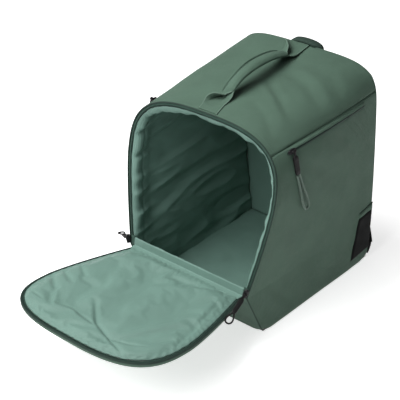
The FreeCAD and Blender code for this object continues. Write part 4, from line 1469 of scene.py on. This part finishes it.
def build_puller(name, pivot, pin, hang, length, width, thickness):
    """Moulded puller: an eye on the slider's pin, a thin neck and a ribbed grip with a rounded end."""
    flat = np.cross(pin, hang)
    turn = np.linspace(0, 2 * math.pi, 28, endpoint=False)[:, None]
    spoke = np.cos(turn) * hang + np.sin(turn) * flat
    eye = sweep_mesh("eye", pivot + spoke * 1.85 * MM, like(pin, spoke), spoke,
                     rounded_box(4.1 * MM, 1.4 * MM, 0.5 * MM, 3), MOULDED, closed_path=True)
    d = np.concatenate([np.linspace(2.2, 9, 12), np.linspace(9, length / MM - 2, 90)[1:],
                        length / MM - 2 + 2 * np.sin(np.linspace(0, math.pi / 2, 7))[1:]])
    end = length / MM
    wide = np.interp(d, (2.2, 7.5, 9.0, 11.0, 15, 0.55 * end, end - 5, end - 1.5, end - 0.4, end),
                     (4.1, 4.1, 0.6 * width, 0.9 * width, width, 0.93 * width, 0.9 * width, 0.74 * width,
                      0.58 * width, 0.36 * width))
    thick = np.interp(d, (2.2, 7.5, 9.0, 11, 14, end - 6, end - 1.5, end),
                      (2.1, 2.1, 0.6 * thickness, 0.9 * thickness, thickness, thickness, 0.8 * thickness,
                       0.4 * thickness))
    ribbed = np.clip(np.minimum(d - 15, end - 9 - d) / 1.5, 0, 1)
    thick -= ribbed * (0.55 + 0.45 * np.sin(d * 2 * math.pi / 3.4))
    corner = np.minimum(wide, thick) * 0.32
    profile = np.stack([rounded_box(w, t, c, 4) for w, t, c in zip(wide, thick, corner)]) * MM
    spine = pivot + d[:, None] * MM * hang
    grip = sweep_mesh("grip", spine, like(pin, spine), like(flat, spine), profile, MOULDED)
    return joined(name, eye, grip)


def build_cord(key, root, across, along, half_route, diameter, mat, slot):
    """Round cord in a loop from one side of the puller's end to the other; returns it and its start."""
    name = f"{key}_cord_loop"
    route = [root + across * a * MM + along * b * MM for a, b in half_route]
    route += [root - across * a * MM + along * b * MM for a, b in reversed(half_route)]
    curve = bpy.data.curves.new(name, "CURVE")
    curve.dimensions = "3D"
    spline = curve.splines.new("NURBS")
    spline.points.add(len(route) - 1)
    for point, at in zip(spline.points, route):
        point.co = (*at, 1.0)
    spline.order_u = 3
    spline.use_endpoint_u = True
    curve.resolution_u = 10
    curve.bevel_depth = diameter / 2
    curve.bevel_resolution = 4
    curve.use_fill_caps = True
    curve.materials.append(mat)
    obj = bpy.data.objects.new(name, curve)
    bpy.context.scene.collection.objects.link(obj)
    own(obj, f"{key}_puller", slot, f"{key}_pull_cord")
    return obj, route[0]


def build_pull(side, kind, centre, slide, top, pin, hang, fall, length, size, loop, diameter, mat, slot):
    """Slider, puller and cord loop of one zip."""
    key = f"{side}_{kind}"
    pivot = centre + top * PIN_HEIGHT
    own(build_slider(f"{key}_slider_body", centre, slide, top, pin), f"{key}_slider", "zip_metal",
        f"{key}_slider")
    own(build_puller(f"{key}_puller_moulding", pivot, pin, hang, length, *size), f"{key}_puller",
        "moulded_puller", f"{key}_puller")
    root = pivot + hang * length
    across = unit(np.cross(fall, np.cross(pin, hang))) if kind == "pocket" else pin
    cord, exit_point = build_cord(key, root, across, fall, loop, diameter, mat, slot)


def build_pulls(side, sign):
    """Both pulls of one side: that of the main zip and that of the pocket's zip."""
    slide = unit(np.array(JOINTS[f"{side}_main_zip"]["axis"]))
    hinge = JOINTS[f"{side}_main_puller_hinge"]
    hang = unit(np.array(MAIN_HANGS[side]))
    top = unit(hang - slide * (hang @ slide))
    build_pull(side, "main", np.array(hinge["pos_m"]) - top * PIN_HEIGHT, slide, top,
               unit(np.array(hinge["axis"])), hang, hang, MAIN_PULLER_LENGTH, (9.0, 4.5), MAIN_LOOP,
               3.0 * MM, BLACK_CORD, "black_cord")
    slide = unit(np.array(JOINTS[f"{side}_pocket_zip"]["axis"]))
    out = unit(np.cross(slide, (0, 0, 1))) * sign
    down = np.cross(slide, out) * sign
    top = unit(out * math.cos(POCKET_TILT) - down * math.sin(POCKET_TILT))
    hang = unit(down + out * POCKET_SPLAY)
    pivot = np.array(JOINTS[f"{side}_pocket_puller_hinge"]["pos_m"])
    build_pull(side, "pocket", pivot - top * PIN_HEIGHT, slide, top, slide, hang,
               unit(down + slide * POCKET_SLANT), POCKET_PULLER_LENGTH, (11.0, 5.0), POCKET_LOOP,
               4.0 * MM, GREEN_CORD, "green_cord")


for side, sign in SIDES:
    build_pulls(side, sign)


# ---------------------------------------------------------------- rear corner patches
def side_x(y, z):
    """How far out the right side is at y and z."""
    share = (y - FRONT[:, 1]) / (BACK[:, 1] - FRONT[:, 1])
    line = FRONT + (BACK - FRONT) * share[:, None]
    order = np.argsort(line[:, 2])
    return float(np.interp(z, line[order, 2], line[order, 0]))


def on_side(y, z, sign):
    """Points and normals of one side at y and z."""
    x = np.vectorize(side_x)(y, z)
    points = np.stack([x, y, z], -1)
    normals = grid_normals(points, points - BODY_CENTRE)
    return mirrored(points, sign), mirrored(normals, sign)


def side_patch(name, corners, height, mat, slot, node, sign, rows, columns):
    """Puffed piece sewn on a side between four (y, z) corners, lower front one first, anticlockwise."""
    t = np.linspace(0, 1, rows)[:, None]
    s = np.linspace(0, 1, columns)[None, :]
    a, b, c, d = (np.array(p) * MM for p in corners)
    y = (a[0] * (1 - s) + b[0] * s) * (1 - t) + (d[0] * (1 - s) + c[0] * s) * t
    z = (a[1] * (1 - s) + b[1] * s) * (1 - t) + (d[1] * (1 - s) + c[1] * s) * t
    grid, normals = on_side(y, z, sign)
    edge = np.minimum(np.minimum(t, 1 - t) * (rows - 1), np.minimum(s, 1 - s) * (columns - 1)) / 4
    lift = 0.9 * MM + height * np.sin(np.clip(edge, 0, 1) * math.pi / 2)
    lift = lift + 0.35 * height * noise_field(grid, 0.025, 61.0)
    piece = sheet_mesh(name, grid + normals * lift[..., None], normals, (lift - 0.1 * MM)[..., None], mat)
    own(piece, "bag", slot, node)
    front_edge = (grid + normals * (lift + 0.1 * MM)[..., None])[3:-3, 3]
    return front_edge, normals[3:-3, 3]


def build_rear_patch(side, sign):
    """Plain patch at the lower rear corner, its stitches, its band, and a dark cord along the band's upper
    edge as a painted shadow.
    """
    edge, out = side_patch(f"{side}_rear_patch_panel", ((96, 20), (150.6, 26), (150.6, 109), (113, 104)),
                           1.9 * MM, PATCH, "patch", f"{side}_rear_patch", sign, 60, 44)
    across = unit(np.cross(tangents(edge), out))
    stitches = beads(f"{side}_rear_patch_topstitch", edge, across, out, 3.2, (2.2, 0.55, 0.5), PATCH)
    own(stitches, "bag", "patch")
    side_patch(f"{side}_rear_patch_band", ((113.1, 104.3), (150.8, 109.3), (150.8, 122), (112, 115)),
               2.2 * MM, SHELL, "shell_fabric", f"{side}_rear_patch_binding", sign, 16, 44)
    # Dark cord along the band's upper edge: a painted shadow of the band.
    y, z = np.linspace(112, 150.8, 40) * MM, np.linspace(115.8, 122.8, 40) * MM
    line = mirrored(np.stack([np.vectorize(side_x)(y, z) + 1.0 * MM, y, z], 1), sign)
    edge = sweep_mesh(f"{side}_rear_patch_band_shadow", line, like((sign, 0, 0), line), like((0, 0, 1), line),
                      circle(1.1 * MM, 8), PIPING)
    own(edge, "bag", "piping")


for side, sign in SIDES:
    build_rear_patch(side, sign)


# ---------------------------------------------------------------- harness on the back
PAD_FACE_Y = BACK_Y + 8.4 * MM
PAD_HALF_WIDTH, PAD_HALF_HEIGHT, PAD_CENTRE_Z = 0.110, 0.150, 0.190


def back_sheet(name, x, z, y, height, mat, slot, *nodes):
    """Puffed piece in the XZ plane behind the bag, over grids of x and z, from y out to its height."""
    grid = np.stack([x, np.broadcast_to(y, x.shape), z], -1)
    normals = np.broadcast_to(np.array((0, 1.0, 0)), grid.shape)
    piece = sheet_mesh(name, grid + normals * height[..., None], normals, height[..., None], mat)
    own(piece, "bag", slot, *nodes)
    return piece


def build_back_pad():
    """Quilted mesh pad with piping down both its sides."""
    rows, columns = 150, 110
    t = np.linspace(-1, 1, rows)[:, None]
    s = np.linspace(-1, 1, columns)[None, :]
    x = PAD_HALF_WIDTH * s * np.sqrt(1 - 0.10 * np.abs(t) ** 10 * np.abs(s))
    z = PAD_CENTRE_Z + PAD_HALF_HEIGHT * t * (1 - 0.035 * np.abs(s) ** 8 * np.abs(t))
    to_edge = np.minimum((1 - np.abs(t)) * PAD_HALF_HEIGHT, (1 - np.abs(s)) * PAD_HALF_WIDTH)
    puff = np.sin(np.clip(to_edge / 0.016, 0, 1) * math.pi / 2) ** 0.7
    groove = np.ones(x.shape)
    for line in (-0.052, 0.052):
        groove = np.minimum(groove, 1 - 0.62 * np.exp(-((x - line) / 0.0045) ** 2))
    for line in (0.095, 0.160, 0.225, 0.290):
        groove = np.minimum(groove, 1 - 0.62 * np.exp(-((z - line - 0.05 * np.abs(x)) / 0.0045) ** 2))
    height = 0.9 * MM + 6.4 * MM * puff * groove
    pad = back_sheet("back_pad_cover", x, z, BACK_Y + 0.2 * MM, height, MESH, "harness_mesh", "back_pad")
    for number, x_line in enumerate((-0.106, 0.106)):
        ends = np.array([(x_line, BACK_Y + 2.6 * MM, z_end) for z_end in (0.056, 0.324)])
        path = resample(ends, 60)
        piping = sweep_mesh(f"back_pad_piping_{number}", path, like((1, 0, 0), path), like((0, 1, 0), path),
                            circle(1.6 * MM, 8), WEBBING)
        own(piping, "bag", "harness_mesh")


def ribbon_grid(line, width, rows, columns):
    """Grids of x and z over a strap along a smooth line of (x, z) points, in millimetres."""
    path = smoothed(resample(np.array([(x, z, 0) for x, z in line], float), rows), 30)
    run = tangents(path)
    side = np.stack([-run[:, 1], run[:, 0]], 1)
    s = np.linspace(-0.5, 0.5, columns)
    grid = path[:, None, :2] + side[:, None] * (np.broadcast_to(width, rows)[:, None] * s)[..., None]
    return grid[..., 0] * MM, grid[..., 1] * MM


def build_strap(side, sign):
    """Padded shoulder strap, the tape sewn on it and the webbing that runs down from its buckle."""
    rows, columns = 130, 34
    taper = np.interp(np.linspace(0, 1, rows), (0, 0.05, 0.9, 1), (46, 53.5, 52, 40))
    x, z = ribbon_grid(((42, 352), (52, 310), (76, 240), (98, 180), (108, 148)), taper, rows, columns)
    s = np.abs(np.linspace(-1, 1, columns))[None, :]
    t = np.linspace(0, 1, rows)[:, None]
    puff = np.sin(np.clip((1 - s) / 0.32, 0, 1) * math.pi / 2) ** 0.8
    puff = puff * np.sin(np.clip(np.minimum(t, 1 - t) / 0.05, 0, 1) * math.pi / 2)
    puff = puff * (1 - 0.35 * np.exp(-((s - 0.62) / 0.07) ** 2))
    puff = puff * (1 - 0.18 * np.abs(np.sin(t * math.pi * 6)) ** 12)
    height = 1.6 * MM + 7.6 * MM * puff
    strap = back_sheet(f"{side}_strap_cover", x * sign, z, PAD_FACE_Y + 0.1 * MM, height, MESH,
                       "harness_mesh", f"{side}_shoulder_strap")
    tape_x, tape_z = ribbon_grid(((44, 344), (54, 300), (76, 240), (96, 186), (104, 160)), 20, 90, 10)
    back_sheet(f"{side}_strap_tape", tape_x * sign, tape_z, PAD_FACE_Y + 8.6 * MM,
               np.full(tape_x.shape, 1.4 * MM), WEBBING, "black_webbing")
    web_x, web_z = ribbon_grid(((110, 140), (117.4, 115), (133.5, 28)), 21, 90, 10)
    sag = 0.8 * MM + 0.5 * MM * np.sin(np.linspace(0, 9, 90))[:, None] + 0 * web_x
    back_sheet(f"{side}_webbing_run", web_x * sign, web_z, PAD_FACE_Y + sag, np.full(web_x.shape, 1.3 * MM),
               WEBBING, "black_webbing", f"{side}_strap_webbing")


def build_buckle(side, sign):
    """Ladder-lock buckle: three bars between two rails."""
    across = unit(np.array((7.5, 0, -24.0))) * np.array((sign, 1, 1))
    centre = np.array((sign * 113.2, (PAD_FACE_Y + 3.0 * MM) / MM, 130)) * MM
    wide = unit(np.cross(across, (0, 1.0, 0)))
    parts = []
    for offset, half in ((-10.5, 2.6), (-1.5, 1.9), (10.0, 2.4)):
        bar = rounded_box(31, 2 * half, 1.2, 4)
        parts.append(stack_mesh("bar", centre + across * offset * MM, wide, across, np.array((0, 1.0, 0)),
                                bar, ((-2.4, 0.94), (-2.0, 1), (2.0, 1), (2.6, 0.93)), BUCKLE))
    for offset in (-13.6, 13.6):
        rail = rounded_box(3.8, 25, 1.4, 4)
        parts.append(stack_mesh("rail", centre + wide * offset * MM, wide, across, np.array((0, 1.0, 0)),
                                rail, ((-2.6, 0.95), (-2.2, 1), (2.2, 1), (2.8, 0.94)), BUCKLE))
    own(joined(f"{side}_buckle_frame", *parts), "bag", "buckle_plastic", f"{side}_strap_buckle")


def build_anchor(side, sign):
    """Puffed tab at the lower corner that holds the webbing's end."""
    t = np.linspace(0, 1, 24)[:, None]
    s = np.linspace(0, 1, 26)[None, :]
    left_x, right_x = 108 + 12 * t, 141 + 5 * np.sin(t * math.pi / 2)
    x = (left_x * (1 - s) + right_x * s) * MM
    z = np.broadcast_to((9 + 24 * t) * MM, x.shape)
    puff = np.sin(np.clip(np.minimum(np.minimum(t, 1 - t), np.minimum(s, 1 - s)) / 0.12, 0, 1) * math.pi / 2)
    back_sheet(f"{side}_anchor_tab", x * sign, z, BACK_Y + 0.3 * MM, 1.2 * MM + 7.0 * MM * puff, WEBBING,
               "black_webbing", f"{side}_strap_anchor")


build_back_pad()
for side, sign in SIDES:
    build_strap(side, sign)
    build_buckle(side, sign)
    build_anchor(side, sign)
